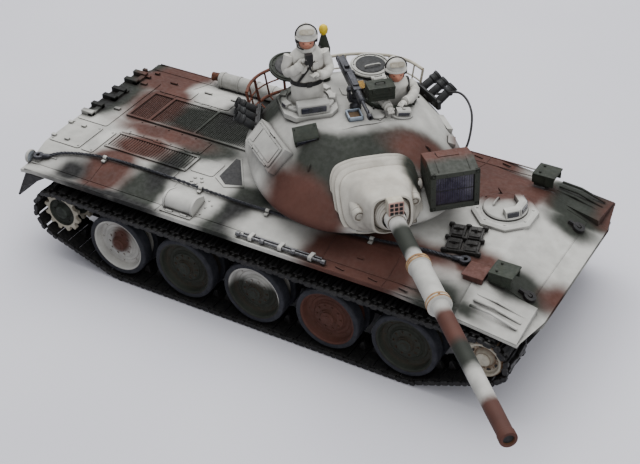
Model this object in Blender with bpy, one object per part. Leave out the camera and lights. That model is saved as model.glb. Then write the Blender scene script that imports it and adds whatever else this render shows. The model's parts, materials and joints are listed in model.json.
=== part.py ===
"""A 1/35 main battle tank with radio gear, as separate pieces on their joint axes.

X points forward, Y to the left and Z up. Every size below is in millimetres. The hull is drawn
with its middle road wheel at X = 0 and the ground at Z = 0, and the turret and the gun are drawn
in their own frames, which empties then place. The last step moves the whole tank so that the
middle of its footprint is the origin.
"""

import math

import bmesh
import bpy
from mathutils import Matrix, Vector

MM = 0.001
GAP = 0.3                       # clearance between pieces that touch

# Running gear
WHEEL_X = [28.57 * step for step in (-2, -1, 0, 1, 2)]
WHEEL_Z = 13.8
WHEEL_RADIUS = 12.0
WHEEL_FACE = 44.0               # outer face of the road wheels, from the centre line
WHEEL_BACK = 31.4
SPROCKET = (-82.9, 18.6)        # X and Z of the rear drive axle
SPROCKET_RADIUS = 7.8           # over the teeth
SPROCKET_TEETH = 12
IDLER = (84.6, 19.5)
IDLER_RADIUS = 6.6
AXLE_RADIUS = 1.6
TRACK_OUTER = 45.5
TRACK_INNER = 29.8
TRACK_THICK = 2.4

# Hull
TUB_SIDE = 29.0                 # half width of the lower hull
TUB_TOP = 31.6
TUB_FLOOR = 10.0
DECK_Z = 37.0
DECK_SIDE = 28.0                # half width of the flat deck
SHELF_Z = 34.0                  # flat shelf along the outside of each fender
SHELF_SIDE = 38.0
FENDER_SIDE = 43.1
FENDER_THICK = 1.3
REAR_X = -98.5
GLACIS_X = 77.0
NOSE_X = 98.0

# Turret and gun
TURRET_X = 18.0
TURRET_YAW = -47.2              # degrees, turned to the tank's right
RING_RADIUS = 24.0
TRUNNION = (24.0, 52.0)         # forward of the turret's axis, and height
GUN_ELEVATION = 3.2             # degrees
MUZZLE = 125.9                  # from the trunnion
ROOF_Z = 62.3

# Hatches and machine gun, in the turret's frame
COMMANDER = (-18.3, -14.3)
LOADER = (-15.3, 14.2)
HATCH_RADIUS = 7.6
MG_PIVOT = (-11.5, 0.9)
MG_AXIS_Z = 69.5

COLOURS = {
    "white": ((0.72, 0.71, 0.66), 0.75, 0),
    "green": ((0.09, 0.11, 0.075), 0.8, 0),
    "brown": ((0.20, 0.085, 0.06), 0.8, 0),
    "canvas": ((0.62, 0.60, 0.52), 0.9, 0),
    "steel": ((0.10, 0.10, 0.11), 0.45, 0.7),
    "track": ((0.05, 0.05, 0.05), 0.6, 0.3),
    "black": ((0.03, 0.03, 0.03), 0.6, 0),
    "glass": ((0.05, 0.05, 0.07), 0.15, 0),
    "cloth": ((0.75, 0.74, 0.70), 0.9, 0),
    "motor": ((0.55, 0.56, 0.58), 0.3, 0.9),
    "cell": ((0.08, 0.20, 0.42), 0.4, 0),
    "board": ((0.03, 0.20, 0.09), 0.5, 0),
    "plastic": ((0.12, 0.13, 0.12), 0.55, 0),
}

AXES = {"x": Vector((1, 0, 0)), "y": Vector((0, 1, 0)), "z": Vector((0, 0, 1))}
SIDES = (("right", -1), ("left", 1))


# ---------------------------------------------------------------- shapes, as meshes in millimetres

def loft(rings, closed=False):
    """A skin through rings of points. Its ends are capped, or joined to each other if closed."""
    shape = bmesh.new()
    rows = [[shape.verts.new(point) for point in ring] for ring in rings]
    count = len(rows[0])
    pairs = list(zip(rows, rows[1:]))
    if closed:
        pairs.append((rows[-1], rows[0]))
    for low, high in pairs:
        for i in range(count):
            after = (i + 1) % count
            shape.faces.new((low[i], low[after], high[after], high[i]))
    if not closed:
        shape.faces.new(rows[0][::-1])
        shape.faces.new(rows[-1])
    bmesh.ops.recalc_face_normals(shape, faces=shape.faces)
    return shape


def box(x, y, z):
    """A block between (low, high) limits in x, y and z."""
    return prism([(x[0], y[0]), (x[1], y[0]), (x[1], y[1]), (x[0], y[1])], z, "z")


def prism(outline, span, axis):
    """An outline drawn across an axis, drawn out between two places along it."""
    place = {
        "x": lambda u, v, w: (w, u, v),
        "y": lambda u, v, w: (u, w, v),
        "z": lambda u, v, w: (u, v, w),
    }[axis]
    return loft([[place(u, v, w) for u, v in outline] for w in span])


def turned(profile, centre, axis, steps=24, closed=False):
    """A round piece: (radius, distance along the axis) pairs, turned about the axis."""
    along = AXES[axis]
    across = AXES["z"] if axis != "z" else AXES["x"]
    third = along.cross(across)
    rings = []
    for radius, distance in profile:
        angles = [math.tau * i / steps for i in range(steps)]
        rings.append([
            Vector(centre) + along * distance
            + radius * (math.cos(angle) * across + math.sin(angle) * third)
            for angle in angles
        ])
    return loft(rings, closed)


def rod(start, end, radius, steps=10):
    """A straight round bar between two points."""
    return tube([start, end], radius, steps)


def tube(path, radius, steps=8, closed=False):
    """A round bar along a path of points."""
    points = [Vector(point) for point in path]
    side = None
    rings = []
    for i, point in enumerate(points):
        before = points[i - 1] if i or closed else point
        after = points[(i + 1) % len(points)] if closed or i + 1 < len(points) else point
        along = (after - before).normalized()
        if side is None:
            side = along.orthogonal()
        side = (side - along * side.dot(along)).normalized()
        third = along.cross(side)
        rings.append([
            point + radius * (math.cos(math.tau * k / steps) * side
                              + math.sin(math.tau * k / steps) * third)
            for k in range(steps)
        ])
    return loft(rings, closed)


def smooth_path(points, per_span=3):
    """Points along a smooth curve through the given ones (Catmull-Rom)."""
    knots = [Vector(point) for point in points]
    knots = [2 * knots[0] - knots[1]] + knots + [2 * knots[-1] - knots[-2]]
    path = []
    for a, b, c, d in zip(knots, knots[1:], knots[2:], knots[3:]):
        for step in range(per_span):
            t = step / per_span
            path.append(0.5 * (2 * b + (c - a) * t + (2 * a - 5 * b + 4 * c - d) * t ** 2
                               + (3 * b - a - 3 * c + d) * t ** 3))
    return path + [knots[-2]]


def ellipsoid(centre, radii, segments=12, rings=7):
    shape = bmesh.new()
    bmesh.ops.create_uvsphere(shape, u_segments=segments, v_segments=rings, radius=1)
    shape.transform(Matrix.Translation(centre) @ Matrix.Diagonal((*radii, 1)))
    return shape


def arc(centre, radius, first, last, steps):
    """Points on an arc, in a plane, between two angles in degrees."""
    return [
        (centre[0] + radius * math.cos(math.radians(first + (last - first) * i / steps)),
         centre[1] + radius * math.sin(math.radians(first + (last - first) * i / steps)))
        for i in range(steps + 1)
    ]


def rounded(x, y, radius, steps=3):
    """The outline of a rectangle with round corners."""
    corners = [(x[1] - radius, y[1] - radius, 0), (x[0] + radius, y[1] - radius, 90),
               (x[0] + radius, y[0] + radius, 180), (x[1] - radius, y[0] + radius, 270)]
    return [point for cx, cy, turn in corners
            for point in arc((cx, cy), radius, turn, turn + 90, steps)]


def moved(shape, matrix):
    shape.transform(matrix)
    return shape


def mirrored(shape):
    """The same shape on the other side of the centre line."""
    shape.transform(Matrix.Diagonal((1, -1, 1, 1)))
    bmesh.ops.reverse_faces(shape, faces=shape.faces)
    return shape


# ---------------------------------------------------------------- objects

def clear_scene():
    for obj in list(bpy.data.objects):
        bpy.data.objects.remove(obj)


def make_material(name):
    colour, roughness, metallic = COLOURS[name]
    material = bpy.data.materials.new(name)
    material.use_nodes = True
    shader = material.node_tree.nodes["Principled BSDF"]
    shader.inputs["Base Color"].default_value = (*colour, 1)
    shader.inputs["Roughness"].default_value = roughness
    shader.inputs["Metallic"].default_value = metallic
    return material


def as_object(name, shape):
    bmesh.ops.scale(shape, vec=(MM, MM, MM), verts=shape.verts)
    mesh = bpy.data.meshes.new(name)
    shape.to_mesh(mesh)
    shape.free()
    obj = bpy.data.objects.new(name, mesh)
    bpy.context.scene.collection.objects.link(obj)
    return obj


def pivot(name, parent, place, turn=(0, 0, 0)):
    """An empty on a joint's axis, or at the frame of an assembly."""
    empty = bpy.data.objects.new(name, None)
    bpy.context.scene.collection.objects.link(empty)
    empty.location = [value * MM for value in place]
    empty.rotation_euler = [math.radians(value) for value in turn]
    empty.parent = parent
    return empty


def piece(name, colour, adds, cuts=(), parent=None, place=(0, 0, 0)):
    """One piece: the union of the shapes in adds, less those in cuts. It hangs on parent."""
    body = as_object(name, adds[0])
    helpers = []
    for shapes, operation in ((adds[1:], "UNION"), (cuts, "DIFFERENCE")):
        for shape in shapes:
            helper = as_object(f"{name}_{operation}", shape)
            modifier = body.modifiers.new(operation, "BOOLEAN")
            modifier.operation = operation
            modifier.solver = "MANIFOLD"
            modifier.object = helper
            helpers.append(helper)
    if helpers:
        graph = bpy.context.evaluated_depsgraph_get()
        solid = bpy.data.meshes.new_from_object(body.evaluated_get(graph))
        body.modifiers.clear()
        body.data = solid
    for helper in helpers:
        bpy.data.objects.remove(helper)
    body.data.materials.clear()
    body.data.materials.append(bpy.data.materials.get(colour) or make_material(colour))
    body.data.shade_smooth()
    body.data.set_sharp_from_angle(angle=math.radians(35))
    body.parent = parent
    body.location = [value * MM for value in place]
    return body


def copy_of(original, name, place, turn=(0, 0, 0)):
    """Another object with the same mesh and parent."""
    twin = bpy.data.objects.new(name, original.data)
    bpy.context.scene.collection.objects.link(twin)
    twin.parent = original.parent
    twin.location = [value * MM for value in place]
    twin.rotation_euler = [math.radians(value) for value in turn]
    return twin


# ---------------------------------------------------------------- hull

def lower_hull(tank):
    """The open tub: side plates, floor, nose and tail, bored for the drive shafts."""
    outer = [(-96, TUB_TOP), (-96, 20), (-89, TUB_FLOOR), (82, TUB_FLOOR), (93.5, 18.5),
             (97, 25.4), (97, 26.4), (78, TUB_TOP)]
    inner = [(-94, 40), (-94, 20.8), (-88, 12), (81, 12), (92, 19.6), (94.6, 25.4), (94.6, 40)]
    shaft = turned([(AXLE_RADIUS + GAP, -40), (AXLE_RADIUS + GAP, 40)],
                   (SPROCKET[0], 0, SPROCKET[1]), "y", 16)
    door_hole = box((-34, 6), (-12, 12), (5, 20))
    switch_slot = box((23.5, 30.5), (-1.6, 1.6), (5, 20))
    piece("lower_hull", "green", [prism(outer, (-TUB_SIDE, TUB_SIDE), "y")],
          [prism(inner, (-TUB_SIDE + 1.8, TUB_SIDE - 1.8), "y"), shaft, door_hole, switch_slot],
          tank)


def hull_section(x, shelf, deck, underside, setback=0, thick=FENDER_THICK):
    """One cross-section of the upper hull. The fender's corners may stand back along X."""
    out_x = x - setback
    half = [
        (out_x, FENDER_SIDE, shelf - thick), (out_x, FENDER_SIDE, shelf),
        (out_x, SHELF_SIDE, shelf), (x, DECK_SIDE, deck), (x, 10, deck),
    ]
    under = [(x, 10, underside), (x, 29.6, underside), (out_x, 30.2, shelf - thick)]
    left = half + under
    right = [(px, -py, pz) for px, py, pz in reversed(left)]
    return half + right[3:] + right[:3] + under


def upper_hull(tank):
    """The deck with both fenders and the sloping glacis, hollow under the deck."""
    sections = [
        hull_section(REAR_X, SHELF_Z - 0.6, DECK_Z, 32),
        hull_section(REAR_X + 5, SHELF_Z, DECK_Z, 32),
        hull_section(52, SHELF_Z, DECK_Z, 32),
        hull_section(GLACIS_X - 3, 31.8, DECK_Z, 32, 0, 1.0),
        hull_section(GLACIS_X, 31.4, DECK_Z, 32, 0, 0.9),
        hull_section(NOSE_X, 29.1, 28.5, 26.9, 2.8, 0.9),
    ]
    hollow = box((REAR_X + 2, 74), (-24, 24), (30, DECK_Z - 1.5))
    ring_bore = turned([(RING_RADIUS + 0.5, 30), (RING_RADIUS + 0.5, 40)], (TURRET_X, 0, 0), "z", 40)
    cuts = [hollow, ring_bore]
    for x, y in GRILLES.values():
        cuts.append(box(x, y, (DECK_Z - 0.9, 40)))
        cuts.append(box((x[0] + 1.5, x[1] - 1.5), (y[0] + 1.5, y[1] - 1.5), (30, 40)))
    cuts.append(turned([(6.6, 30), (6.6, 45)], (*DRIVER, 0), "z", 20))
    piece("upper_hull", "white", [loft(sections), driver_coaming(), fender_nose(-1), fender_nose(1)], cuts, tank)


GRILLES = {
    "engine_grille": ((-82, -8), (1, 18)),
    "louvre_panel": ((-76, -42), (-20, -12)),
}
DRIVER = (67.8, 9.3)


def deck_panels(tank):
    """The mesh grille and the slatted panel, each lying in its recess in the deck."""
    for name, (x, y) in GRILLES.items():
        inside = [(x[0] + GAP, x[1] - GAP), (y[0] + GAP, y[1] - GAP)]
        plate = box(*inside, (DECK_Z - 0.6, DECK_Z + 0.4))
        third = (x[1] - x[0] - 2) / 3
        slots = [box((x[0] + 2 + third * i, x[0] + third * (i + 1)),
                     (y[0] + 2, y[1] - 2), (DECK_Z, DECK_Z + 2)) for i in range(3)]
        piece(name, "brown", [plate], slots, tank)


def rear_plate(tank):
    """The bolted tail plate with its two lamps and two tow hooks."""
    plate = prism(rounded((-27, 27), (20.8, 31.3), 1.5), (-97.7, -96 - GAP), "x")
    lamps = [box((-99.5, -97.5), (y - 3, y + 3), (26, 29.5)) for y in (-20, 20)]
    hooks = [turned([(1.0, -0.9), (2.4, -0.9), (2.4, 0.9), (1.0, 0.9)],
                    (-99.2, y, 23.5), "y", 12, True) for y in (-11, 11)]
    piece("rear_plate", "green", [plate, *lamps, *hooks], (), tank)


def glacis_fittings(tank):
    """Headlamps in their guards, tow eyes and two spans of spare track on the front deck."""
    for side, x, y, z in (("right", 78.0, -28.0, 36.4), ("left", 69.0, 28.6, 37.0 + GAP)):
        # The body stands on a low foot and carries a hood over the lens.
        foot = box((x + 1, x + 6), (y + 1, y + 6.4), (z, z + 1.2))
        body = box((x, x + 7.2), (y, y + 7.4), (z + 0.8, z + 4.8))
        hood = box((x + 5, x + 8.6), (y - 0.2, y + 7.6), (z + 4.3, z + 5.1))
        bore = turned([(1.4, 0), (1.4, 8)], (x + 5.6, y + 3.7, z + 2.5), "x", 12)
        piece(f"headlamp_{side}", "green", [foot, body, hood], [bore], tank)
    shapes = []
    for y in (-4.0, 4.0):
        shapes += [box((-5.5, -0.4), (y - 3.6, y + 3.6), (0, 1.7)),
                   box((0.4, 5.5), (y - 3.6, y + 3.6), (0, 1.7)),
                   box((-3.4, -2.4), (y - 1, y + 1), (1.5, 2.9)),
                   box((2.4, 3.4), (y - 1, y + 1), (1.5, 2.9))]
    shapes.append(box((-4.6, 4.6), (-7, 7), (0.4, 1.3)))
    turn = (Matrix.Translation((62.8, -11.8, DECK_Z + GAP))
            @ Matrix.Rotation(math.radians(14), 4, "Z"))
    piece("spare_track", "track", [moved(shape, turn) for shape in shapes], (), tank)


TOW_CABLE = [(-93, -35.0), (-86, -31), (-71, -28.0), (-49, -27.2), (-22, -28.3), (-2.5, -28.4),
             (12, -28.0), (36, -25.8), (52, -23.3), (60, -22.6), (65, -22.3)]
CABLE_RADIUS = 0.55


def tow_cable(tank):
    """The tow rope, clipped along the edge of the deck, with an eye at each end."""
    def lie(x, y):
        # Outside the flat deck the rope lies on the sloping side panel.
        over = max(0.0, abs(y) - DECK_SIDE)
        drop = over * (DECK_Z - SHELF_Z) / (SHELF_SIDE - DECK_SIDE)
        return (x, y, DECK_Z - drop + CABLE_RADIUS + GAP + 0.16)
    route = smooth_path([lie(x, y) for x, y in TOW_CABLE], 3)
    rope = tube(route, CABLE_RADIUS, 6)
    eyes = []
    for end, beyond in ((route[0], Vector((-1.6, -0.7, -0.15))), (route[-1], Vector((1.8, -0.9, 0)))):
        centre = end + beyond
        eyes.append(turned([(0.9, -0.5), (2.0, -0.5), (2.0, 0.5), (0.9, 0.5)], centre, "z", 12, True))
    piece("tow_cable", "steel", [rope, *eyes], (), tank)


def fender_gear(tank):
    """The exhaust with its long guard, the round-backed box, the rods and the rubber mud flaps."""
    top = SHELF_Z + GAP
    guard = [(38.4, top), (42.2, top), (42.2, top + 3.6), *arc((39.8, top + 3.6), 2.4, 0, 180, 6),
             (37.4, top + 1.0)]
    pipe = turned([(1.6, 0), (1.4, 2), (1.4, 8)], (-71.5, 39.8, top + 3.2), "x", 14)
    bore = turned([(1.1, -1), (1.1, 5)], (-71.5, 39.8, top + 3.2), "x", 14)
    piece("exhaust_guard", "brown", [prism(guard, (-66, -34), "x"), pipe], [bore], tank)
    # The box sits on the sloping panel: its back is round and its lid is flat.
    locker = [(-32.0, 36.4), (-38.2, 34.6), (-41.0, top), (-41.0, top + 1.0),
              *arc((-36.4, 36.2), 3.4, 205, 80, 5), (-32.6, 38.6)]
    piece("exhaust_box", "white", [prism(locker, (-38, -26), "x")], (), tank)
    y, z = -41.3, top + 0.8
    shapes = [rod((-7, y, z), (27, y, z), 0.7), rod((-4, y + 1.7, z), (24, y + 1.7, z), 0.6)]
    shapes += [box((x, x + 1.4), (y - 1.0, y + 2.6), (top, z + 1.0)) for x in (0, 10, 20)]
    piece("cleaning_rods", "steel", shapes, (), tank)
    low = SHELF_Z - FENDER_THICK - GAP
    for side, sign in SIDES:
        flap = prism([(-95.4, low - 0.6), (-97.6, low - 0.6), (-102.6, 21.2), (-101.4, 20.8)],
                     (sign * 30.4, sign * 43.0), "y")
        web = prism([(-88, low - 0.6), (-97, low - 0.6), (-100.4, 24)], (sign * 42.2, sign * 43.0), "y")
        piece(f"mud_flap_{side}", "black", [flap, web], (), tank)


def fender_nose(sign):
    """The raised top of a front fender, which stands over the glacis beside it."""
    rings = []
    for x, points in (
        (73.6, [(26.5, 33.0), (26.5, 36.7), (30, 36.5), (38.5, 34.0), (42.9, 32.1), (42.9, 31.3)]),
        (94.9, [(26.5, 27.7), (26.5, 32.0), (30, 31.8), (38.5, 30.6), (42.9, 29.5), (42.9, 28.7)]),
    ):
        rings.append([(x, sign * y, z) for y, z in points])
    return loft(rings)


def driver_coaming():
    """The eight-sided coaming round the driver's hatch, moulded on the deck."""
    x, y = DRIVER
    flat = math.cos(math.pi / 8)
    octagon = [(10.5 / flat, -1.2), (10.5 / flat, 1.0), (9.7 / flat, 1.5)]
    turn = Matrix.Translation((x, y, DECK_Z)) @ Matrix.Rotation(math.pi / 8, 4, "Z")
    return moved(turned(octagon, (0, 0, 0), "z", 8), turn)


def driver_hatch(tank):
    """The driver's hatch with its three periscopes. It swings flat to the left."""
    x, y = DRIVER
    swing = pivot("driver_hatch_pivot", tank, (x - 5.2, y + 7.6, 0))
    low = DECK_Z + 1.5 + GAP
    centre = (5.2, -7.6, low)
    lid = turned([(7.4, 0), (7.4, 0.7), (6.8, 1.2)], centre, "z", 24)
    arm = prism([(-1.4, -1.4), (3, -6), (5.4, -3.6), (1.4, 1.4)], (low, low + 0.8), "z")
    visors = []
    for angle in (-45, 0, 45):
        visor = moved(box((4.4, 7.0), (-2.6, 2.6), (0.4, 3.6)),
                      Matrix.Translation(centre) @ Matrix.Rotation(math.radians(angle), 4, "Z"))
        visors.append(visor)
    piece("driver_hatch", "brown", [lid, arm, *visors], (), swing)


def inner_gear(tank):
    """What the hull carries inside: motors, gearbox, battery, receiver board, and their fittings."""
    shafts = turned([(AXLE_RADIUS + GAP, -30), (AXLE_RADIUS + GAP, 30)],
                    (SPROCKET[0], 0, SPROCKET[1]), "y", 16)
    case = prism([(-93.4, 21.2), (-87.4, 12 + GAP), (-70, 12 + GAP), (-70, 30), (-93.4, 30)],
                 (-20, 20), "y")
    piece("gearbox_case", "plastic", [case], [shafts], tank)
    for side, sign in SIDES:
        can = turned([(2.2, 0), (2.2, 0.8), (7.6, 0.9), (7.6, 22), (1, 22), (1, 24.7)],
                     (-45.0, sign * 10, 21), "x", 20)
        can.transform(Matrix.Translation((-90, 0, 0)) @ Matrix.Diagonal((-1, 1, 1, 1)))
        bmesh.ops.reverse_faces(can, faces=can.faces)
        piece(f"motor_{side}", "motor", [can], (), tank)
    cells = [turned([(5.4, -38), (5.4, 10)], (0, y, 18.2), "x", 14) for y in (-5.2, 5.2)]
    piece("battery_pack", "cell", cells, (), tank)
    board = [box((34, 74), (-20, 20), (16, 17.2)), box((38, 46), (-8, 4), (17, 20)),
             box((60, 70), (6, 16), (17, 23)), box((40, 44), (-18, -14), (12 + GAP, 16.5))]
    piece("receiver_board", "board", board, (), tank)
    door = [box((-36, 8), (-14, 14), (TUB_FLOOR - 1.5, TUB_FLOOR - GAP)),
            box((-30, -20), (-4, 4), (TUB_FLOOR - 2.1, TUB_FLOOR - 1.2))]
    piece("battery_door", "plastic", door, (), tank)
    switch = [box((24, 28), (-1.2, 1.2), (TUB_FLOOR - 1.3, 14)),
              box((23, 31), (-2.6, 2.6), (12 + GAP, 14))]
    piece("power_switch", "black", switch, (), tank)


# ---------------------------------------------------------------- running gear

def wheel_shape(radius, face, back, bore):
    """A pair of dished discs on one hub, with a channel between them for the guide teeth."""
    middle = (face + back) / 2
    hub = min(4.6, radius - 3.6)
    return turned([
        (bore, back), (radius, back + 0.4), (radius, middle - 1.6), (radius - 3.2, middle - 1.4),
        (radius - 3.2, middle + 1.4), (radius, middle + 1.6), (radius, face), (radius - 2, face),
        (radius - 3.4, face - 2.6), (hub, face - 1.4), (hub * 0.74, face + 0.2), (bore, face + 0.2),
    ], (0, 0, 0), "y", 16, True)


def running_gear(tank):
    bore = AXLE_RADIUS + GAP
    centre_y = (WHEEL_FACE + WHEEL_BACK) / 2
    half = (WHEEL_FACE - WHEEL_BACK) / 2
    for side, sign in SIDES:
        first = None
        turn = (0, 0, 0) if sign > 0 else (0, 0, 180)
        for number, x in enumerate(WHEEL_X, start=1):
            name = f"road_wheel_{side}_{number}"
            place = (x, sign * centre_y, WHEEL_Z)
            if first is None:
                first = piece(name, "green", [wheel_shape(WHEEL_RADIUS, half, -half, bore)],
                              (), tank, place)
                first.rotation_euler = [math.radians(angle) for angle in turn]
            else:
                copy_of(first, name, place, turn)
        idler = piece(f"idler_{side}", "white", [wheel_shape(IDLER_RADIUS, half, -half, bore)],
                      (), tank, (IDLER[0], sign * centre_y, IDLER[1]))
        idler.rotation_euler = [math.radians(angle) for angle in turn]
        sprocket(side, sign, tank, centre_y, half, turn)
        suspension(side, sign, tank)
        track(side, sign, tank)


def sprocket(side, sign, tank, centre_y, half, turn):
    """Two toothed rings on a hub, with the drive shaft that enters the gearbox."""
    outline = []
    for tooth in range(SPROCKET_TEETH):
        pitch = math.tau / SPROCKET_TEETH
        for offset, radius in ((-0.3, -1.5), (-0.14, 0), (0.14, 0), (0.3, -1.5)):
            angle = (tooth + 0.5 + offset) * pitch
            outline.append(((SPROCKET_RADIUS + radius) * math.cos(angle),
                            (SPROCKET_RADIUS + radius) * math.sin(angle)))
    rings = [prism(outline, span, "y") for span in ((-half + 0.6, -half + 2.2), (half - 3.4, half - 1.8))]
    hub = turned([(AXLE_RADIUS, -centre_y + 21), (AXLE_RADIUS, -half - 0.2), (4.2, -half), (4.2, half - 2),
                  (2.6, half - 0.6)], (0, 0, 0), "y", 16)
    wheel = piece(f"sprocket_{side}", "green", [*rings, hub], (), tank,
                  (SPROCKET[0], sign * centre_y, SPROCKET[1]))
    wheel.rotation_euler = [math.radians(angle) for angle in turn]


def suspension(side, sign, tank):
    """A rail bolted to the side of the tub, with the trailing arms and their axles."""
    inner, outer = TUB_SIDE + GAP, TUB_SIDE + 1.9
    shapes = [box((-52, 90), (inner, outer - 0.4), (16.4, 20.6))]
    for x in WHEEL_X:
        arm = [(x - 2.6, WHEEL_Z - 2.6), (x + 2.6, WHEEL_Z - 2.6), (x + 10.5, 17), (x + 10.5, 21),
               (x + 7, 21), (x - 2.6, WHEEL_Z + 2.6)]
        shapes.append(prism(arm, (inner, outer), "y"))
        shapes.append(rod((x, inner + 0.5, WHEEL_Z), (x, 41.2, WHEEL_Z), AXLE_RADIUS, 10))
    shapes.append(turned([(3.4, inner), (3.4, outer)], (IDLER[0], 0, IDLER[1]), "y", 16))
    shapes.append(rod((IDLER[0], inner + 0.5, IDLER[1]), (IDLER[0], 41.2, IDLER[1]), AXLE_RADIUS, 12))
    if sign < 0:
        shapes = [mirrored(shape) for shape in shapes]
    piece(f"suspension_{side}", "green", shapes, (), tank)


def track_path(offset):
    """The track's loop in X and Z, at a distance outside the wheels, in a closed run of points."""
    sprocket_radius = SPROCKET_RADIUS + offset + 0.15
    idler_radius = IDLER_RADIUS + offset + 0.15
    wheel_radius = WHEEL_RADIUS + offset
    top = WHEEL_Z + wheel_radius
    path = arc((WHEEL_X[0], WHEEL_Z), wheel_radius, 250, 270, 2)
    path += arc((WHEEL_X[-1], WHEEL_Z), wheel_radius, 270, 293, 2)
    path += arc(IDLER, idler_radius, 293, 450, 8)
    path += [(WHEEL_X[-1] + 6, top + 0.1), (WHEEL_X[-1], top), (WHEEL_X[0], top),
             (WHEEL_X[0] - 6, top + 0.1)]
    path += arc(SPROCKET, sprocket_radius, 90, 250, 8)
    return path


def track(side, sign, tank):
    """The track as a plain band, clear of the wheels by the usual gap."""
    loops = []
    for offset, y in ((GAP, TRACK_INNER), (GAP + TRACK_THICK, TRACK_INNER),
                      (GAP + TRACK_THICK, TRACK_OUTER), (GAP, TRACK_OUTER)):
        loops.append([(x, sign * y, z) for x, z in track_path(offset)])
    rings = [list(ring) for ring in zip(*loops)]
    piece(f"track_{side}", "track", [loft(rings, True)], (), tank)


# ---------------------------------------------------------------- turret

# Half outlines of the turret at rising heights, from the nose to the tail.
TURRET_WIDTH = 0.965            # scales the half widths below
TURRET_LEVELS = [
    (38.8, [(27, 0), (26.5, 9), (23.5, 16), (20, 22), (13, 27.5), (5, 31), (-5, 33), (-15, 33),
            (-22, 30), (-27, 24), (-29.5, 13), (-30.5, 0)]),
    (43.0, [(34, 0), (33.5, 9), (31.5, 17), (28, 23), (21.5, 29.5), (13, 34.5), (0, 37.6), (-13, 38),
            (-27, 36.5), (-39, 30), (-47, 16), (-49, 0)]),
    (47.5, [(30, 0), (29.5, 9), (28, 16.5), (24.5, 22.5), (18, 28.5), (10, 33), (-2, 36), (-14, 36.6),
            (-27, 35), (-38, 29), (-45.5, 16), (-47.5, 0)]),
    (53.5, [(22.5, 0), (22, 9), (20.5, 15.5), (17, 21), (11, 26), (4, 29.6), (-6, 32), (-17, 32),
            (-28, 30), (-37, 24.5), (-43, 14), (-45, 0)]),
    (59.0, [(13.5, 0), (13, 8), (11.5, 13.5), (8.5, 18), (3, 22), (-3, 24.6), (-11, 26.4), (-20, 26.4),
            (-28, 24.5), (-35, 19.5), (-39, 11), (-41, 0)]),
    (61.6, [(7, 0), (6.5, 7), (5, 12), (2, 15.8), (-2, 19), (-7, 21.2), (-13, 22.6), (-20, 22.6),
            (-27, 21), (-33, 16.8), (-36.5, 9.5), (-38, 0)]),
    (ROOF_Z, [(2, 0), (1.5, 6), (0, 10), (-2, 13.5), (-5.5, 16.2), (-9.5, 18), (-14, 19), (-20, 19),
              (-26, 17.6), (-31, 14), (-34, 8), (-35, 0)]),
]


def turret_ring(level, inset=0.0, drop=0.0):
    """A closed outline of the turret at one level, drawn in for the inner wall."""
    height, half = TURRET_LEVELS[level]
    ring = [(x, y * TURRET_WIDTH, height - drop) for x, y in half]
    ring += [(x, -y * TURRET_WIDTH, height - drop) for x, y in reversed(half[1:-1])]
    centre = Vector((-8, 0, height - drop))
    result = []
    for point in ring:
        spoke = Vector(point) - centre
        result.append(centre + spoke * (1 - inset / spoke.length))
    return result


def shell_envelope():
    """The outside of the turret drawn out by the clearance, to shape the pieces that lie on it."""
    rings = [turret_ring(0, -0.4, 6.0)]
    rings += [turret_ring(level, -0.4, -GAP) for level in range(len(TURRET_LEVELS))]
    return loft(rings)


def turret_shell(turret):
    """The cast turret, hollow from below, with slots for the gun and the lamp's arm and two hatch holes."""
    outer = loft([turret_ring(level) for level in range(len(TURRET_LEVELS))])
    inner = loft([turret_ring(0, 7.4, -2.1), turret_ring(1, 9.0, -0.6), turret_ring(3, 5.0), turret_ring(5, 8.0, 2.0)])
    slot = box((13.3, 40), (-10.15, 10.15), (43.3, 57.15))
    arm_slot = box((TRUNNION[0] - 2.3, 40), (8, 16), (TRUNNION[1] - 2.3, TRUNNION[1] + 2.3))
    hatches = [turned([(HATCH_RADIUS, 55), (HATCH_RADIUS, 70)], (*place, 0), "z", 24)
               for place in (COMMANDER, LOADER)]
    collar = turned([(RING_RADIUS, 31), (RING_RADIUS, 40)], (0, 0, 0), "z", 40)
    bore = turned([(RING_RADIUS - 3, 30), (RING_RADIUS - 3, 42.3)], (0, 0, 0), "z", 40)
    rim = turned([(HATCH_RADIUS + 1.4, ROOF_Z - 1), (HATCH_RADIUS + 1.4, ROOF_Z + 0.4),
                  (HATCH_RADIUS + 0.9, ROOF_Z + 0.9)], (*LOADER, 0), "z", 24)
    piece("turret_shell", "white", [outer, collar, rim], [inner, bore, slot, arm_slot, *hatches], turret)


def cupola(turret):
    """The commander's raised plate with its forward periscope, and its coaming."""
    x, y = COMMANDER
    base = ROOF_Z + GAP
    plate = [(x + 11.0, y - 6.5), (x + 11.0, y + 6.0), (x + 8, y + 8.8), (x - 4, y + 10.2),
             (x - 9.5, y + 3), (x - 9.5, y - 5), (x - 4, y - 10.2), (x + 7, y - 9.6)]
    # The plate follows the fall of the roof towards the right and the front.
    deck = prism(plate, (base, base + 1.2), "z")
    skirt = turned([(HATCH_RADIUS + 2.0, base), (HATCH_RADIUS + 1.6, base + 2.0)], (x, y, 0), "z", 24)
    scope = prism([(x + 5.2, base + 1), (x + 10.0, base + 1), (x + 9.4, base + 4.4), (x + 6.2, base + 4.8)],
                  (y - 5.6, y + 5.6), "y")
    window = box((x + 9.0, x + 12), (y - 4.4, y + 4.4), (base + 1.9, base + 3.6))
    hole = turned([(HATCH_RADIUS - 0.6, 55), (HATCH_RADIUS - 0.6, 72)], (x, y, 0), "z", 24)
    piece("commander_cupola", "white", [deck, skirt, scope], [window, hole], turret)


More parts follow.
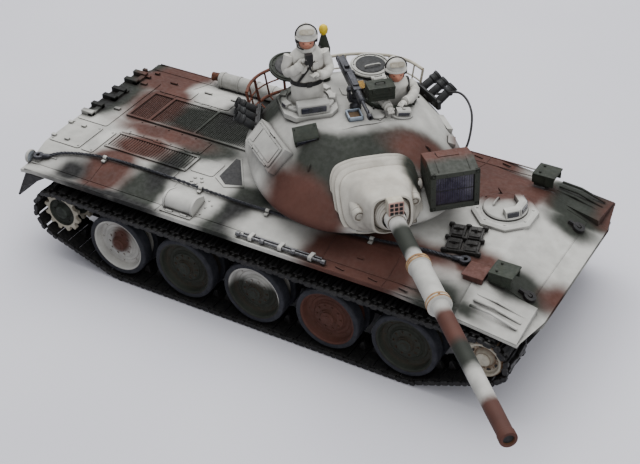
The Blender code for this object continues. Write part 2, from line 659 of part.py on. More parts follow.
def hatch(name, turret, centre, height, open_angle, hinge_turn, gap_out):
    """A round lid on a hinge behind its opening, laid open. The pivot's Y is the hinge."""
    cx, cy = centre
    back = HATCH_RADIUS + gap_out
    turn = math.radians(hinge_turn)
    place = (cx - back * math.cos(turn), cy - back * math.sin(turn), height)
    # The hinge's frame points from the hinge to the middle of the opening when the lid is shut.
    pin = pivot(f"{name}_pivot", turret, place, (0, 0, hinge_turn))
    lid = turned([(HATCH_RADIUS - 0.2, 0.2), (HATCH_RADIUS - 0.2, 1.1), (HATCH_RADIUS - 1.8, 1.8)],
                 (back, 0, 0), "z", 24)
    ears = box((-0.4, back - HATCH_RADIUS + 1.6), (-2.6, 2.6), (0.2, 1.0))
    knuckle = rod((0, -2.6, 0), (0, 2.6, 0), 0.8, 10)
    body = piece(name, "green", [lid, ears, knuckle], (), pin)
    body.rotation_euler = (0, math.radians(-open_angle), 0)


def turret_fittings(turret):
    """Rack, stowage box, smoke tubes, sight hood, loader's periscope, sensor mast and brackets."""
    rack(turret)
    # The locker leans on the right flank, its long side along the turret.
    locker = [box((-10.8, 10.8), (-5, 5), (-7, 0)), box((-9.4, 9.4), (-3.7, 3.9), (-1, 0.8))]
    lean = (Matrix.Translation((-5.8, -32.0, 56.1)) @ Matrix.Rotation(math.radians(10), 4, "Z")
            @ Matrix.Rotation(math.radians(48), 4, "X"))
    piece("stowage_box", "white", [moved(shape, lean) for shape in locker], [shell_envelope()], turret)
    for side, sign in SIDES:
        smoke_tubes(side, sign, turret)
    hood = prism([(0, 0), (5.6, 0), (5.6, 2.2), (0.8, 3.4), (0, 3.4)], (-4.2, 4.2), "y")
    tilt = (Matrix.Translation((-2.6, -18.6, 61.0)) @ Matrix.Rotation(math.radians(-8), 4, "Z")
            @ Matrix.Rotation(math.radians(10), 4, "X") @ Matrix.Rotation(math.radians(16), 4, "Y"))
    mouth = moved(box((4.6, 8), (-3.2, 3.2), (0.7, 1.8)), tilt)
    piece("sight_hood", "green", [moved(hood, tilt)], [mouth, shell_envelope()], turret)
    x, y = -2.2, 14.8
    seat = turned([(3.0, 0), (3.0, 0.7)], (0, 0, 0), "z", 16)
    seat.transform(Matrix.Diagonal((0.75, 1.25, 1, 1)))
    scope = box((-1.4, 1.3), (-2.5, 2.5), (0.5, 2.6))
    lean = Matrix.Translation((x, y, 62.2)) @ Matrix.Rotation(math.radians(9), 4, "Y")
    lean = lean @ Matrix.Rotation(math.radians(-9), 4, "X")
    piece("loader_periscope", "white", [moved(seat, lean), moved(scope, lean)], [shell_envelope()], turret)
    mast = turned([(2.2, 0), (2.0, 3), (2.6, 6), (2.3, 12), (1.2, 16), (0.8, 17.6), (1.5, 18.2), (1.7, 19.8),
                   (0.9, 21)], (-33.0, -5.0, ROOF_Z + GAP + 0.05), "z", 12)
    piece("sensor_mast", "green", [mast], (), turret)


def rack(turret):
    """The bustle rack: two rails of bent tube joined by uprights, with a floor of cross bars."""
    def rail(height, out):
        half = [(-37, 31 + out), (-44, 28 + out), (-50, 22 + out), (-53 - out, 12), (-53.5 - out, 0)]
        left = [(x, y, height) for x, y in half]
        right = [(x, -y, height) for x, y in reversed(half[:-1])]
        return smooth_path(left + right, 2)
    low, high = rail(48.5, 0.0), rail(58.5, 1.5)
    bars = [tube(low, 0.6, 6), tube(high, 0.6, 6)]
    count = len(low)
    for i in (0, 3, 6, 8, 10, 13, count - 1):
        bars.append(rod(low[i], high[i], 0.5, 6))
    for y in (-20, 0, 20):
        nearest = min(low, key=lambda point: abs(point.y - y))
        bars.append(rod(nearest, (nearest.x + 4.4, y, 47.4), 0.5, 6))
    for end in (low[0], low[-1]):
        bars.append(rod(end, (end.x + 0.7, end.y - math.copysign(2.1, end.y), end.z), 0.6, 6))
    piece("bustle_rack", "green", bars, (), turret)


def smoke_tubes(side, sign, turret):
    """Three smoke tubes on a bracket, pointing up and outwards."""
    shapes = [box((-8, 8), (-1, 0.4), (-1.8, 1.8))]
    for i, x in enumerate((-5.6, 0, 5.6)):
        aim = Matrix.Translation((x, 0, 0)) @ Matrix.Rotation(math.radians(-62 + 4 * i), 4, "X")
        shapes.append(moved(turned([(1.5, -1.5), (1.5, 5), (1.9, 5.4), (1.9, 8.4), (1.6, 8.4), (1.6, 6.5)],
                                   (0, 0, 0), "z", 9), aim))
    place = (Matrix.Translation((-25, 31.2, 54.5)) @ Matrix.Rotation(math.radians(14), 4, "Z"))
    shapes = [moved(shape, place) for shape in shapes]
    if sign < 0:
        shapes = [mirrored(shape) for shape in shapes]
    piece(f"smoke_tubes_{side}", "black", shapes, (), turret)


def crew(turret):
    """Half figures standing in the hatches: coat, arms, hood and helmet in one casting each."""
    x, y = COMMANDER
    torso = loft([
        [(x + 0.2 + rx * math.cos(math.tau * k / 14), y + ry * math.sin(math.tau * k / 14), z)
         for k in range(14)]
        for z, rx, ry in ((54, 3.6, 4.8), (64, 4.2, 5.6), (70, 4.3, 5.7), (73.5, 3.7, 5.1),
                          (78, 4.2, 6.0), (82, 3.9, 6.2), (84.2, 2.2, 3.6))
    ])
    head = ellipsoid((x + 0.3, y, 88.6), (4.2, 3.9, 4.8))
    arms = [tube(smooth_path([(x, y - 6.0, 81.5), (x + 1.6, y - 7.4, 76.5), (x + 5.2, y - 4.6, 78.5),
                              (x + 5.8, y - 1.0, 82.0)], 2), 1.9, 8),
            tube(smooth_path([(x, y + 6.0, 81.5), (x + 1.4, y + 7.6, 76.2), (x + 5.2, y + 5.0, 75.2),
                              (x + 6.2, y + 1.4, 76.2)], 2), 1.9, 8)]
    piece("commander_figure", "cloth", [torso, head, *arms], (), turret)
    x, y = LOADER[0] + 0.6, LOADER[1] + 1.0
    torso = loft([
        [(x + lean + rx * math.cos(math.tau * k / 14), y + ry * math.sin(math.tau * k / 14), z)
         for k in range(14)]
        for z, lean, rx, ry in ((52, -0.5, 3.6, 4.6), (61, -0.4, 3.8, 4.8), (66, 1.0, 4.0, 5.6),
                                (69.6, 1.6, 3.8, 5.4), (71.4, 1.8, 2.2, 3.2))
    ])
    head = ellipsoid((x + 2.6, y, 75.0), (4.2, 3.9, 4.6))
    arms = [tube(smooth_path([(x + 1.6, y + 4.8, 68.6), (x + 4.2, y + 6.2, 66.4), (x + 8.2, y + 4.0, 65.6),
                              (x + 10.2, y + 0.5, 65.5)], 2), 1.8, 8),
            tube(smooth_path([(x + 1.6, y - 4.8, 68.4), (x + 5.0, y - 5.8, 66.6), (x + 10.4, y - 5.2, 65.6),
                              (x + 13.6, y - 4.8, 65.3)], 2), 1.8, 8)]
    piece("loader_figure", "cloth", [torso, head, *arms], (), turret)


def machine_gun(turret):
    """The heavy machine gun: a pintle that turns on the roof, and the gun that tilts on it."""
    x, y = MG_PIVOT
    turn = pivot("mg_mount_pivot", turret, (x, y, 0))
    base = ROOF_Z + GAP
    post = turned([(2.0, base), (2.0, base + 0.8), (1.2, base + 1.2), (1.2, base + 3.0)], (0, 0, 0), "z", 12)
    fork = [box((-1.6, 1.6), (-2.6, 2.6), (base + 2.8, base + 3.9)),
            box((-1.4, 1.4), (-2.6, -1.8), (base + 3.2, MG_AXIS_Z + 1.2)),
            box((-1.4, 1.4), (1.8, 2.6), (base + 3.2, MG_AXIS_Z + 1.2))]
    carrier = [box((0.4, 4.0), (2.0, 3.6), (MG_AXIS_Z - 1.8, MG_AXIS_Z + 0.2)),
               box((3.2, 9.0), (2.4, 11.6), (MG_AXIS_Z - 0.6, MG_AXIS_Z + 4.4))]
    piece("mg_mount", "steel", [post, *fork, *carrier], (), turn)
    tilt = pivot("machine_gun_pivot", turn, (0, 0, MG_AXIS_Z))
    receiver = box((-19, 3.5), (-1.4, 1.4), (-1.4, 2.0))
    barrel = [turned([(1.3, 3), (1.3, 9)], (0, 0, 0.5), "x", 10),
              turned([(0.75, 8), (0.75, 18.5), (0.95, 18.6), (0.95, 20.4)], (0, 0, 0.5), "x", 10)]
    grips = [box((-20.5, -18.8), (-1.2, 1.2), (-1.4, 1.6)),
             rod((-20.4, -1.0, 0.4), (-23.0, -1.0, 0.4), 0.4, 6),
             rod((-20.4, 1.0, 0.4), (-23.0, 1.0, 0.4), 0.4, 6)]
    piece("machine_gun", "steel", [receiver, *barrel, *grips], (), tilt)


# ---------------------------------------------------------------- gun

def gun_assembly(turret):
    gun = pivot("gun_pivot", turret, (TRUNNION[0], 0, TRUNNION[1]), (0, -GUN_ELEVATION, 0))
    drum = turned([(4.8, -7.9), (4.8, 7.9)], (0, 0, 0), "y", 24)
    nose = turned([(4.8, 2), (4.4, 9), (3.5, 14), (3.4, 20.9)], (0, 0, 0), "x", 20)
    sight = box((17, 20.9), (-2.6, 2.6), (1.5, 7.4))
    bracket = turned([(1.8, 7), (1.8, 14.4 - GAP)], (0, 0, 0), "y", 14)
    piece("mantlet", "white", [drum, nose, sight, bracket],
          [turned([(2.2, 14), (2.2, 30)], (0, 0, 0), "x", 20)], gun)
    barrel = turned([
        (1.9, 14.4), (1.9, 21.3), (2.7, 21.3), (2.7, 44.0), (3.7, 44.4), (3.7, 46.6), (3.3, 47), (3.3, 64.0),
        (3.8, 64.4), (3.8, 67.0), (2.6, 67.6), (2.3, MUZZLE - 2.6), (2.5, MUZZLE - 2.4), (2.5, MUZZLE),
        (1.5, MUZZLE), (1.5, MUZZLE - 6),
    ], (0, 0, 0), "x", 16)
    piece("gun_barrel", "white", [barrel], (), gun)
    canvas_cover(turret)
    searchlight(gun)


def canvas_cover(turret):
    """The canvas over the gun's slot: from a frame on the turret to a ring clear of the gun."""
    rings = []
    # Each ring is (x, z) of its middle, half width, half height, lean back and corner power.
    for x, z, wide, high, lean, middle_y in ((22.9, 50.6, 14.4, 8.4, 0.92, -1.0), (29, 51.3, 13.4, 8.0, 0.75, -0.8),
                                             (35, 52.1, 10.6, 7.6, 0.45, -0.4), (39.4, 52.5, 7.4, 7.2, 0.12, 0.0)):
        ring = []
        for k in range(24):
            angle = math.tau * k / 24
            c, s = math.cos(angle), math.sin(angle)
            across = wide * math.copysign(abs(c) ** 0.7, c)
            up = high * math.copysign(abs(s) ** 0.7, s)
            ring.append(Vector((x - lean * up, middle_y + across, z + up)))
        rings.append(ring)
    def drawn_in(ring, wall):
        centre = sum(ring, Vector()) / len(ring)
        return [centre + (p - centre) * (1 - wall / (p - centre).length) for p in ring]
    inner = [drawn_in(ring, 1.3) for ring in rings]
    band = loft(rings + inner[::-1], True)
    lamp_side = box((15, 45), (13.2, 20), (40, 70))
    arm_hole = turned([(2.3, 9), (2.3, 18)], (TRUNNION[0], 0, TRUNNION[1]), "y", 16)
    piece("canvas_cover", "canvas", [band], [lamp_side, arm_hole, shell_envelope()], turret)


def searchlight(gun):
    """The box searchlight left of the gun, hollow behind its glass, and the glass."""
    outline = [(-3.2, 2.4), (8.6, -5.4), (9.8, -5.4), (9.8, 8.2), (3.4, 10.2), (-3.2, 9.6)]
    case = prism(outline, (14.4, 31.0), "y")
    well = box((4.0, 20), (16.0, 29.4), (-4.0, 6.9))
    piece("searchlight_housing", "green", [case], [well], gun)
    pane = box((8.2, 9.0), (16.0 + GAP, 29.4 - GAP), (-4.0 + GAP, 6.9 - GAP))
    piece("searchlight_glass", "glass", [pane], (), gun)


def stand_on_origin(tank):
    """Moves the tank so that the middle of its footprint, at the ground, is the origin."""
    bpy.context.view_layer.update()
    low, high = [1e9] * 3, [-1e9] * 3
    for obj in bpy.data.objects:
        if obj.type != "MESH":
            continue
        for vertex in obj.data.vertices:
            point = obj.matrix_world @ vertex.co
            low = [min(a, b) for a, b in zip(low, point)]
            high = [max(a, b) for a, b in zip(high, point)]
    tank.location = (-(low[0] + high[0]) / 2, -(low[1] + high[1]) / 2, -low[2])


def main():
    clear_scene()
    tank = pivot("tank", None, (0, 0, 0))
    lower_hull(tank)
    upper_hull(tank)
    deck_panels(tank)
    rear_plate(tank)
    glacis_fittings(tank)
    tow_cable(tank)
    fender_gear(tank)
    driver_hatch(tank)
    inner_gear(tank)
    running_gear(tank)
    turret = pivot("turret_pivot", tank, (TURRET_X, 0, 0), (0, 0, TURRET_YAW))
    turret_shell(turret)
    cupola(turret)
    hatch("commander_hatch", turret, COMMANDER, ROOF_Z + GAP + 3.2, 165, 8, 1.3)
    hatch("loader_hatch", turret, LOADER, ROOF_Z + GAP + 1.7, 175, 6, 2.0)
    turret_fittings(turret)
    crew(turret)
    machine_gun(turret)
    gun_assembly(turret)
    stand_on_origin(tank)


main()
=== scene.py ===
"""Looks of a radio-controlled model tank in winter camouflage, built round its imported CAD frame.

Pieces are drawn in millimetres in the frames of the hull (X forward, Y left, Z up, middle wheel at
X = 0), the turret, the gun and the machine gun, then written out in the shared frame in metres.
"""

import json
import math

import bmesh
import bpy
from mathutils import Matrix, Vector, noise


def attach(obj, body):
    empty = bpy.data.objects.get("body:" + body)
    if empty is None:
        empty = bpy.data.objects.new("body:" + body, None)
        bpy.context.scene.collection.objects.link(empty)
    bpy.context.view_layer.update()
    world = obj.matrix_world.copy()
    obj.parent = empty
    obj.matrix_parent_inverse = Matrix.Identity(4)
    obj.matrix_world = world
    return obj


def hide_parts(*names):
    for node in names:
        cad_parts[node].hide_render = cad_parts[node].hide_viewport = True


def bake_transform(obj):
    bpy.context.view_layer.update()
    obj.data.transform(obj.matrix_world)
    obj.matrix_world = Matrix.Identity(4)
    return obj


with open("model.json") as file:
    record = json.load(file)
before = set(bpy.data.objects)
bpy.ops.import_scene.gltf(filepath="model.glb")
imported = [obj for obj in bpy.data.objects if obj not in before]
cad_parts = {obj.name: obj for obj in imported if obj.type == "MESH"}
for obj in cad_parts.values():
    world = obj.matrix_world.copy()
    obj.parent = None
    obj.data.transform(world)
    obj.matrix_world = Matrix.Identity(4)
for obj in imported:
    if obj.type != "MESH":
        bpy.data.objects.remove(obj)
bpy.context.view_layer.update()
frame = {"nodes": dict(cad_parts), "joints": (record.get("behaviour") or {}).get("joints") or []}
NODES = frame["nodes"]
JOINTS = {joint["name"]: joint for joint in frame["joints"]}
MM = 0.001


def at(x, y, z):
    return Matrix.Translation((x, y, z))


def spin(degrees, axis):
    return Matrix.Rotation(math.radians(degrees), 4, axis)


def stretch(x, y, z):
    return Matrix.Diagonal((x, y, z, 1))


# ---------------------------------------------------------------- frames, in millimetres

TURRET_X = 18.0
TURRET_TURN = -47.2             # degrees from straight ahead
GUN_RISE = 3.2                  # degrees above level
MG_AXIS = 69.5                  # height of the machine gun's tilt axis
ORIGIN = Vector(JOINTS["turret_traverse"]["pos_m"]) / MM - Vector((TURRET_X, 0, 0))
HULL = Matrix.Translation(ORIGIN)
TURRET = HULL @ at(TURRET_X, 0, 0) @ spin(TURRET_TURN, "Z")
GUN = TURRET @ at(24, 0, 52) @ spin(-GUN_RISE, "Y")
MOUNT = TURRET @ at(-11.5, 0.9, 0)
WEAPON = MOUNT @ at(0, 0, MG_AXIS)
DECK = 37.0
ROOF = 62.3
BASE = ROOF + 0.3               # where the fittings on the roof stand
COMMANDER = (-18.3, -14.3)      # centres of the two hatches
LOADER = (-15.3, 14.2)
WHEEL_X = [28.57 * step for step in (-2, -1, 0, 1, 2)]
WHEEL_Z = 13.8
WHEEL_Y = 37.7
WHEEL_RADIUS = 12
TRACK_Y = 37.65
LINK_PITCH = 4.9
LID_RADIUS = 7.4
ROPE_LIFT = 0.98                # the tow rope's middle above the deck
SPROCKET = (-82.9, 18.6)
IDLER = (84.6, 19.5)
SIDES = (("right", -1), ("left", 1))


def lid_place(name):
    """The frame of a hatch on its hinge, with Y along the pin."""
    joint = JOINTS[name]
    y = Vector(joint["axis"]).normalized()
    x = y.cross(Vector((0, 0, 1))).normalized()
    turn = Matrix((x, y, x.cross(y))).transposed().to_4x4()
    return Matrix.Translation(Vector(joint["pos_m"]) / MM) @ turn


# ---------------------------------------------------------------- shapes

def loft(rings, closed=False, caps=True):
    shape = bmesh.new()
    rows = [[shape.verts.new(point) for point in ring] for ring in rings]
    count = len(rows[0])
    pairs = list(zip(rows, rows[1:]))
    if closed:
        pairs.append((rows[-1], rows[0]))
    for low, high in pairs:
        for i in range(count):
            after = (i + 1) % count
            shape.faces.new((low[i], low[after], high[after], high[i]))
    if caps and not closed:
        shape.faces.new(rows[0][::-1])
        shape.faces.new(rows[-1])
    bmesh.ops.recalc_face_normals(shape, faces=shape.faces)
    return shape


def prism(outline, span, axis="z"):
    place = {"x": lambda u, v, w: (w, u, v), "y": lambda u, v, w: (u, w, v),
             "z": lambda u, v, w: (u, v, w)}[axis]
    return loft([[place(u, v, w) for u, v in outline] for w in span])


def box(x, y, z):
    return prism([(x[0], y[0]), (x[1], y[0]), (x[1], y[1]), (x[0], y[1])], z)


def block(centre, size):
    return box(*[(c - s / 2, c + s / 2) for c, s in zip(centre, size)])


def turned(profile, centre=(0, 0, 0), axis="z", steps=24, closed=False):
    along = Vector({"x": (1, 0, 0), "y": (0, 1, 0), "z": (0, 0, 1)}[axis])
    across = Vector((0, 0, 1)) if axis != "z" else Vector((1, 0, 0))
    third = along.cross(across)
    rings = []
    for radius, distance in profile:
        rings.append([
            Vector(centre) + along * distance
            + radius * (math.cos(math.tau * i / steps) * across + math.sin(math.tau * i / steps) * third)
            for i in range(steps)
        ])
    return loft(rings, closed)


def tube(path, radius, steps=8, closed=False):
    points = [Vector(point) for point in path]
    radii = radius if isinstance(radius, list) else [radius] * len(points)
    side, rings = None, []
    for i, point in enumerate(points):
        before = points[i - 1] if i or closed else point
        after = points[(i + 1) % len(points)] if closed or i + 1 < len(points) else point
        along = (after - before).normalized()
        side = along.orthogonal() if side is None else side
        side = (side - along * side.dot(along)).normalized()
        third = along.cross(side)
        rings.append([
            point + radii[i] * (math.cos(math.tau * k / steps) * side
                                + math.sin(math.tau * k / steps) * third)
            for k in range(steps)
        ])
    return loft(rings, closed)


def smooth_path(points, per_span=4):
    knots = [Vector(point) for point in points]
    knots = [2 * knots[0] - knots[1]] + knots + [2 * knots[-1] - knots[-2]]
    path = []
    for a, b, c, d in zip(knots, knots[1:], knots[2:], knots[3:]):
        for step in range(per_span):
            t = step / per_span
            path.append(0.5 * (2 * b + (c - a) * t + (2 * a - 5 * b + 4 * c - d) * t ** 2
                               + (3 * b - a - 3 * c + d) * t ** 3))
    return path + [knots[-2]]


def bent(points, spans, radius, steps):
    """A round bar along a smooth line through a few points."""
    return tube(smooth_path(points, spans), radius, steps)


def ball(centre, radii, segments=16, rings=10):
    shape = bmesh.new()
    bmesh.ops.create_uvsphere(shape, u_segments=segments, v_segments=rings, radius=1)
    shape.transform(at(*centre) @ stretch(*radii))
    return shape


def moved(shape, matrix):
    shape.transform(matrix)
    if matrix.determinant() < 0:
        bmesh.ops.reverse_faces(shape, faces=shape.faces)
    return shape


def ring_of(count, radius, make, phase=0.0):
    """Copies of a small shape, equally spaced round a circle about Z."""
    step = 360 / count
    return [moved(make(), spin(phase + step * i, "Z") @ at(radius, 0, 0)) for i in range(count)]


def bolt(radius=0.45, height=0.4, steps=6):
    return turned([(radius, -0.2), (radius, height * 0.7), (radius * 0.7, height)], steps=steps)


def bolts(place, count, circle, radius, height, phase=0.0):
    """A ring of bolts in a place."""
    return [moved(b, place) for b in ring_of(count, circle, lambda: bolt(radius, height), phase)]


def rounded(x, y, radius, steps=4):
    corners = [(x[1] - radius, y[1] - radius, 0), (x[0] + radius, y[1] - radius, 90),
               (x[0] + radius, y[0] + radius, 180), (x[1] - radius, y[0] + radius, 270)]
    outline = []
    for cx, cy, turn in corners:
        for i in range(steps + 1):
            angle = math.radians(turn + 90 * i / steps)
            outline.append((cx + radius * math.cos(angle), cy + radius * math.sin(angle)))
    return outline


def grown(outline, by):
    """An outline in a plane, moved out from its middle."""
    middle = Vector((sum(u for u, v in outline) / len(outline), sum(v for u, v in outline) / len(outline)))
    result = []
    for point in outline:
        spoke = Vector(point) - middle
        result.append(tuple(middle + spoke * (1 + by / spoke.length)))
    return result


def wrinkled(shape, amount, scale, seed=0.0, stretch_by=(1, 1, 1)):
    """Moves the points of a shape along their normals, as cloth creases."""
    shape.normal_update()
    for vertex in shape.verts:
        where = Vector(a * b for a, b in zip(vertex.co, stretch_by)) * scale + Vector((seed, seed, seed))
        fold = noise.noise(where) + 0.5 * noise.noise(where * 2.3)
        vertex.co += vertex.normal * fold * amount
    return shape


# ---------------------------------------------------------------- materials

class Graph:
    """A material's node tree, built with short calls."""

    def __init__(self, name, roughness=0.6, metallic=0.0, specular=0.18):
        self.material = bpy.data.materials.new(name)
        self.material.use_nodes = True
        self.tree = self.material.node_tree
        self.shader = self.tree.nodes["Principled BSDF"]
        self.shader.inputs["Roughness"].default_value = roughness
        self.shader.inputs["Metallic"].default_value = metallic
        self.shader.inputs["Specular IOR Level"].default_value = specular

    def node(self, kind, inputs, **settings):
        made = self.tree.nodes.new("ShaderNode" + kind)
        for key, value in settings.items():
            setattr(made, key, value)
        for key, value in inputs.items():
            if isinstance(value, bpy.types.NodeSocket):
                self.tree.links.new(value, made.inputs[key])
            else:
                made.inputs[key].default_value = value
        return made

    def local(self, place=None):
        """Object coordinates, in millimetres in the frame of place."""
        inverse = (place or HULL).inverted()
        source = self.node("TexCoord", {}).outputs["Object"]
        return self.node("Mapping", {
            "Vector": source, "Scale": (1000, 1000, 1000), "Rotation": inverse.to_euler("XYZ"),
            "Location": inverse.translation}).outputs[0]

    def math(self, operation, a, b=0.0):
        return self.node("Math", {0: a, 1: b}, operation=operation).outputs[0]

    def fit(self, value, low, high, to_low=0.0, to_high=1.0):
        return self.node("MapRange", {0: value, 1: low, 2: high, 3: to_low, 4: to_high},
                         interpolation_type="SMOOTHSTEP").outputs[0]

    def mix(self, factor, a, b, blend="MIX"):
        sockets = {0: factor, 6: a if isinstance(a, bpy.types.NodeSocket) else (*a, 1),
                   7: b if isinstance(b, bpy.types.NodeSocket) else (*b, 1)}
        return self.node("Mix", sockets, data_type="RGBA", blend_type=blend).outputs[2]

    def noise(self, coords, scale, detail=3.0, rough=0.55):
        return self.node("TexNoise", {"Vector": coords, "Scale": scale, "Detail": detail,
                                      "Roughness": rough}).outputs["Fac"]

    def wobble(self, coords, scale, amount):
        colour = self.node("TexNoise", {"Vector": coords, "Scale": scale, "Detail": 3.0}).outputs["Color"]
        shift = self.node("VectorMath", {0: colour, 1: (0.5, 0.5, 0.5)}, operation="SUBTRACT").outputs[0]
        shift = self.node("VectorMath", {0: shift, 1: (amount,) * 3}, operation="MULTIPLY").outputs[0]
        return self.node("VectorMath", {0: coords, 1: shift}, operation="ADD").outputs[0]

    def blob(self, coords, centre, radii, turn=0.0, feather=2.5):
        """One inside an ellipsoid, falling softly to nothing outside it."""
        inside = self.node("Mapping", {"Vector": coords, "Location": centre, "Scale": radii,
                                       "Rotation": (0, 0, math.radians(turn))}, vector_type="TEXTURE")
        length = self.node("VectorMath", {0: inside.outputs[0]}, operation="LENGTH").outputs["Value"]
        soft = min(0.7, feather / min(radii))
        return self.fit(length, 1 + soft, 1 - soft)

    def layers(self, coords, base, zones, feather=2.5):
        """Sprayed colours over each other; each zone is (colour, blobs)."""
        colour = base
        for paint, blobs in zones:
            mask = None
            for blob in blobs:
                here = self.blob(coords, *blob, feather=feather)
                mask = here if mask is None else self.math("MAXIMUM", mask, here)
            colour = self.mix(mask, colour, paint)
        return colour

    def weather_and_shade(self, colour, coords, wash=0.88, wash_colour=(0.012, 0.010, 0.009), chips=0.5,
                reach=2.2, mottle=0.2):
        """Uneven paint, a dark wash with painted shade where faces meet, and small chips."""
        cloud = self.math("MULTIPLY", self.fit(self.noise(coords, 0.16, 5), 0.3, 0.7, 1 - mottle, 1.0),
                          self.fit(self.noise(coords, 0.045, 3), 0.35, 0.65, 1 - 1.2 * mottle, 1.0))
        colour = self.mix(1.0, colour, self.grey(cloud), "MULTIPLY")
        # Painted shade: ambient occlusion darkens corners, creases and hollows towards the wash colour, a
        # modeller's wash and the shade that falls there in one.
        corner = self.node("AmbientOcclusion", {"Distance": reach * MM}, samples=6).outputs["AO"]
        painted_shade_mask = self.fit(corner, 0.92, 0.35, 0.0, wash)
        colour = self.mix(painted_shade_mask, colour, wash_colour)
        if chips:
            spots = self.fit(self.noise(coords, 1.3, 6, 0.7), 0.69, 0.74, 0.0, chips)
            colour = self.mix(spots, colour, (0.05, 0.03, 0.025))
        return colour

    def grey(self, value):
        return self.node("CombineColor", {0: value, 1: value, 2: value}).outputs[0]

    def bump(self, height, strength=0.15, distance=0.1):
        bumped = self.node("Bump", {"Height": height, "Strength": strength, "Distance": distance * MM})
        self.tree.links.new(bumped.outputs[0], self.shader.inputs["Normal"])

    def finish(self, colour, roughness=None):
        self.tree.links.new(colour, self.shader.inputs["Base Color"])
        if roughness is not None:
            self.tree.links.new(roughness, self.shader.inputs["Roughness"])
        return self.material


WHITE = (0.40, 0.395, 0.37)
GREEN = (0.019, 0.022, 0.017)
BROWN = (0.066, 0.026, 0.019)
DARK = (0.007, 0.007, 0.007)
CREAM = (0.40, 0.375, 0.31)
BIG = 400.0                     # half height of a colour zone that has the same outline at all heights


def zone(x, y, rx, ry, turn=0.0, z=0.0, rz=BIG):
    return ((x, y, z), (rx, ry, rz), turn)


HULL_ZONES = [
    (GREEN, [zone(-97, 12, 12, 19), zone(-97, 38, 9, 9), zone(-50, 9, 24, 11), zone(-42, -5, 13, 8),
             zone(-48, -20, 7, 14), zone(-50, -36, 10, 12), zone(-40, 28, 10, 18), zone(-14, -37, 9, 12),
             zone(-14, -24, 14, 7), zone(66, -39, 10, 8), zone(86, 33, 15, 15), zone(87, -21, 11, 8),
             zone(-18, 42, 14, 9), zone(88, 19, 9, 6), zone(78, -39, 12, 3)]),
    (BROWN, [zone(-82, 33, 14, 15, -35), zone(-76, 12, 11, 17), zone(-63, -4, 20, 6), zone(-64, -15, 12, 8),
             zone(-68, -31, 10, 14), zone(36, -36, 23, 13), zone(42, -24, 29, 7), zone(71, -21, 9, 8),
             zone(62, 24, 16, 15), zone(46, 38, 16, 13), zone(98, 38, 6, 11), zone(20, 42, 12, 9)]),
    # In this near-black layer the zone at x -45, y 26 is a painted shadow by the smoke tubes on the rear
    # deck; the others are black camouflage.
    (DARK, [zone(-81, -37, 7, 6), zone(-60, -42.2, 34, 2.2), zone(-45, 26, 6, 16), zone(-48, -24, 4, 10),
            zone(-13, -34, 5, 9), zone(-96, 8, 5, 12)]),
    (WHITE, [zone(-92, -18, 12, 12), zone(-95, -36, 9, 8), zone(-60, 33, 13, 11), zone(-31, -27, 11, 17),
             zone(2, -36, 13, 8), zone(90, -38, 9, 7), zone(80, 2, 22, 10)]),
    (BROWN, [zone(97, -16, 5, 7)]),
    # Painted shade: this layer takes everything below about 26 mm in the hull's frame, the lower hull and
    # the underside of the nose, to near black.
    (DARK, [zone(0, 0, 900, 900, 0, -20, 46)]),
]
TURRET_ZONES = [
    (GREEN, [zone(14, -6, 11, 20), zone(12, 8, 9, 20), zone(-34, -27, 18, 12, 10), zone(-44, -10, 8, 18),
             zone(10, -16, 10, 10), zone(-34, 32, 14, 8), zone(22, -16, 9, 10, 0, 50, 12)]),
    (BROWN, [zone(21, -28, 24, 11.5, 28, 48, 13), zone(27, -22, 9, 8, 20, 45, 9), zone(16, 22, 8, 17, -28),
             zone(6, 35, 12, 5, -24), zone(-49, 2, 5, 20)]),
    (WHITE, [zone(-13, -36, 18, 6, 0, 47, 9)]),
]


def camouflage(name, place, base, zones, feather=3.2, wobble=5.0, **weather_and_shade):
    graph = Graph(name, 0.7)
    coords = graph.local(place)
    colour = graph.layers(graph.wobble(coords, 0.11, wobble), base, zones, feather)
    colour = graph.weather_and_shade(colour, coords, **weather_and_shade)
    graph.bump(graph.noise(coords, 2.2, 4), 0.10, 0.12)
    return graph.finish(colour, graph.fit(graph.noise(coords, 0.7), 0.3, 0.7, 0.58, 0.82))


def plain(name, colour, second, place=None, scale=0.5, roughness=0.6, metallic=0.0, spread=0.2, grain=2.5,
          bump=0.15, specular=0.2, **weather_and_shade):
    """A surface of one paint or material whose colour drifts to a second one."""
    graph = Graph(name, roughness, metallic, specular)
    coords = graph.local(place)
    drift = graph.fit(graph.noise(coords, scale, 5), 0.35, 0.68)
    shade = graph.weather_and_shade(graph.mix(drift, colour, second), coords, **weather_and_shade)
    graph.bump(graph.noise(coords, grain, 4), bump, 0.12)
    rough = graph.fit(graph.noise(coords, 1.1), 0.3, 0.7, roughness - spread / 2, roughness + spread / 2)
    return graph.finish(shade, rough)


def barrel_paint():
    """Bands of colour along the gun."""
    graph = Graph("gun_camouflage", 0.7)
    coords = graph.local(GUN)
    along = graph.node("SeparateXYZ", {0: graph.wobble(coords, 0.25, 3.0)}).outputs[0]
    colour = graph.mix(graph.fit(along, 23, 28), WHITE, GREEN)
    for start, end, paint in ((38, 43, WHITE), (68, 74, BROWN), (83, 88, GREEN), (95, 100, WHITE),
                              (108, 113, BROWN)):
        colour = graph.mix(graph.fit(along, start, end), colour, paint)
    colour = graph.weather_and_shade(colour, coords, wash=0.8, wash_colour=(0.10, 0.05, 0.02))
    graph.bump(graph.noise(coords, 2.0, 4), 0.10, 0.12)
    return graph.finish(colour)


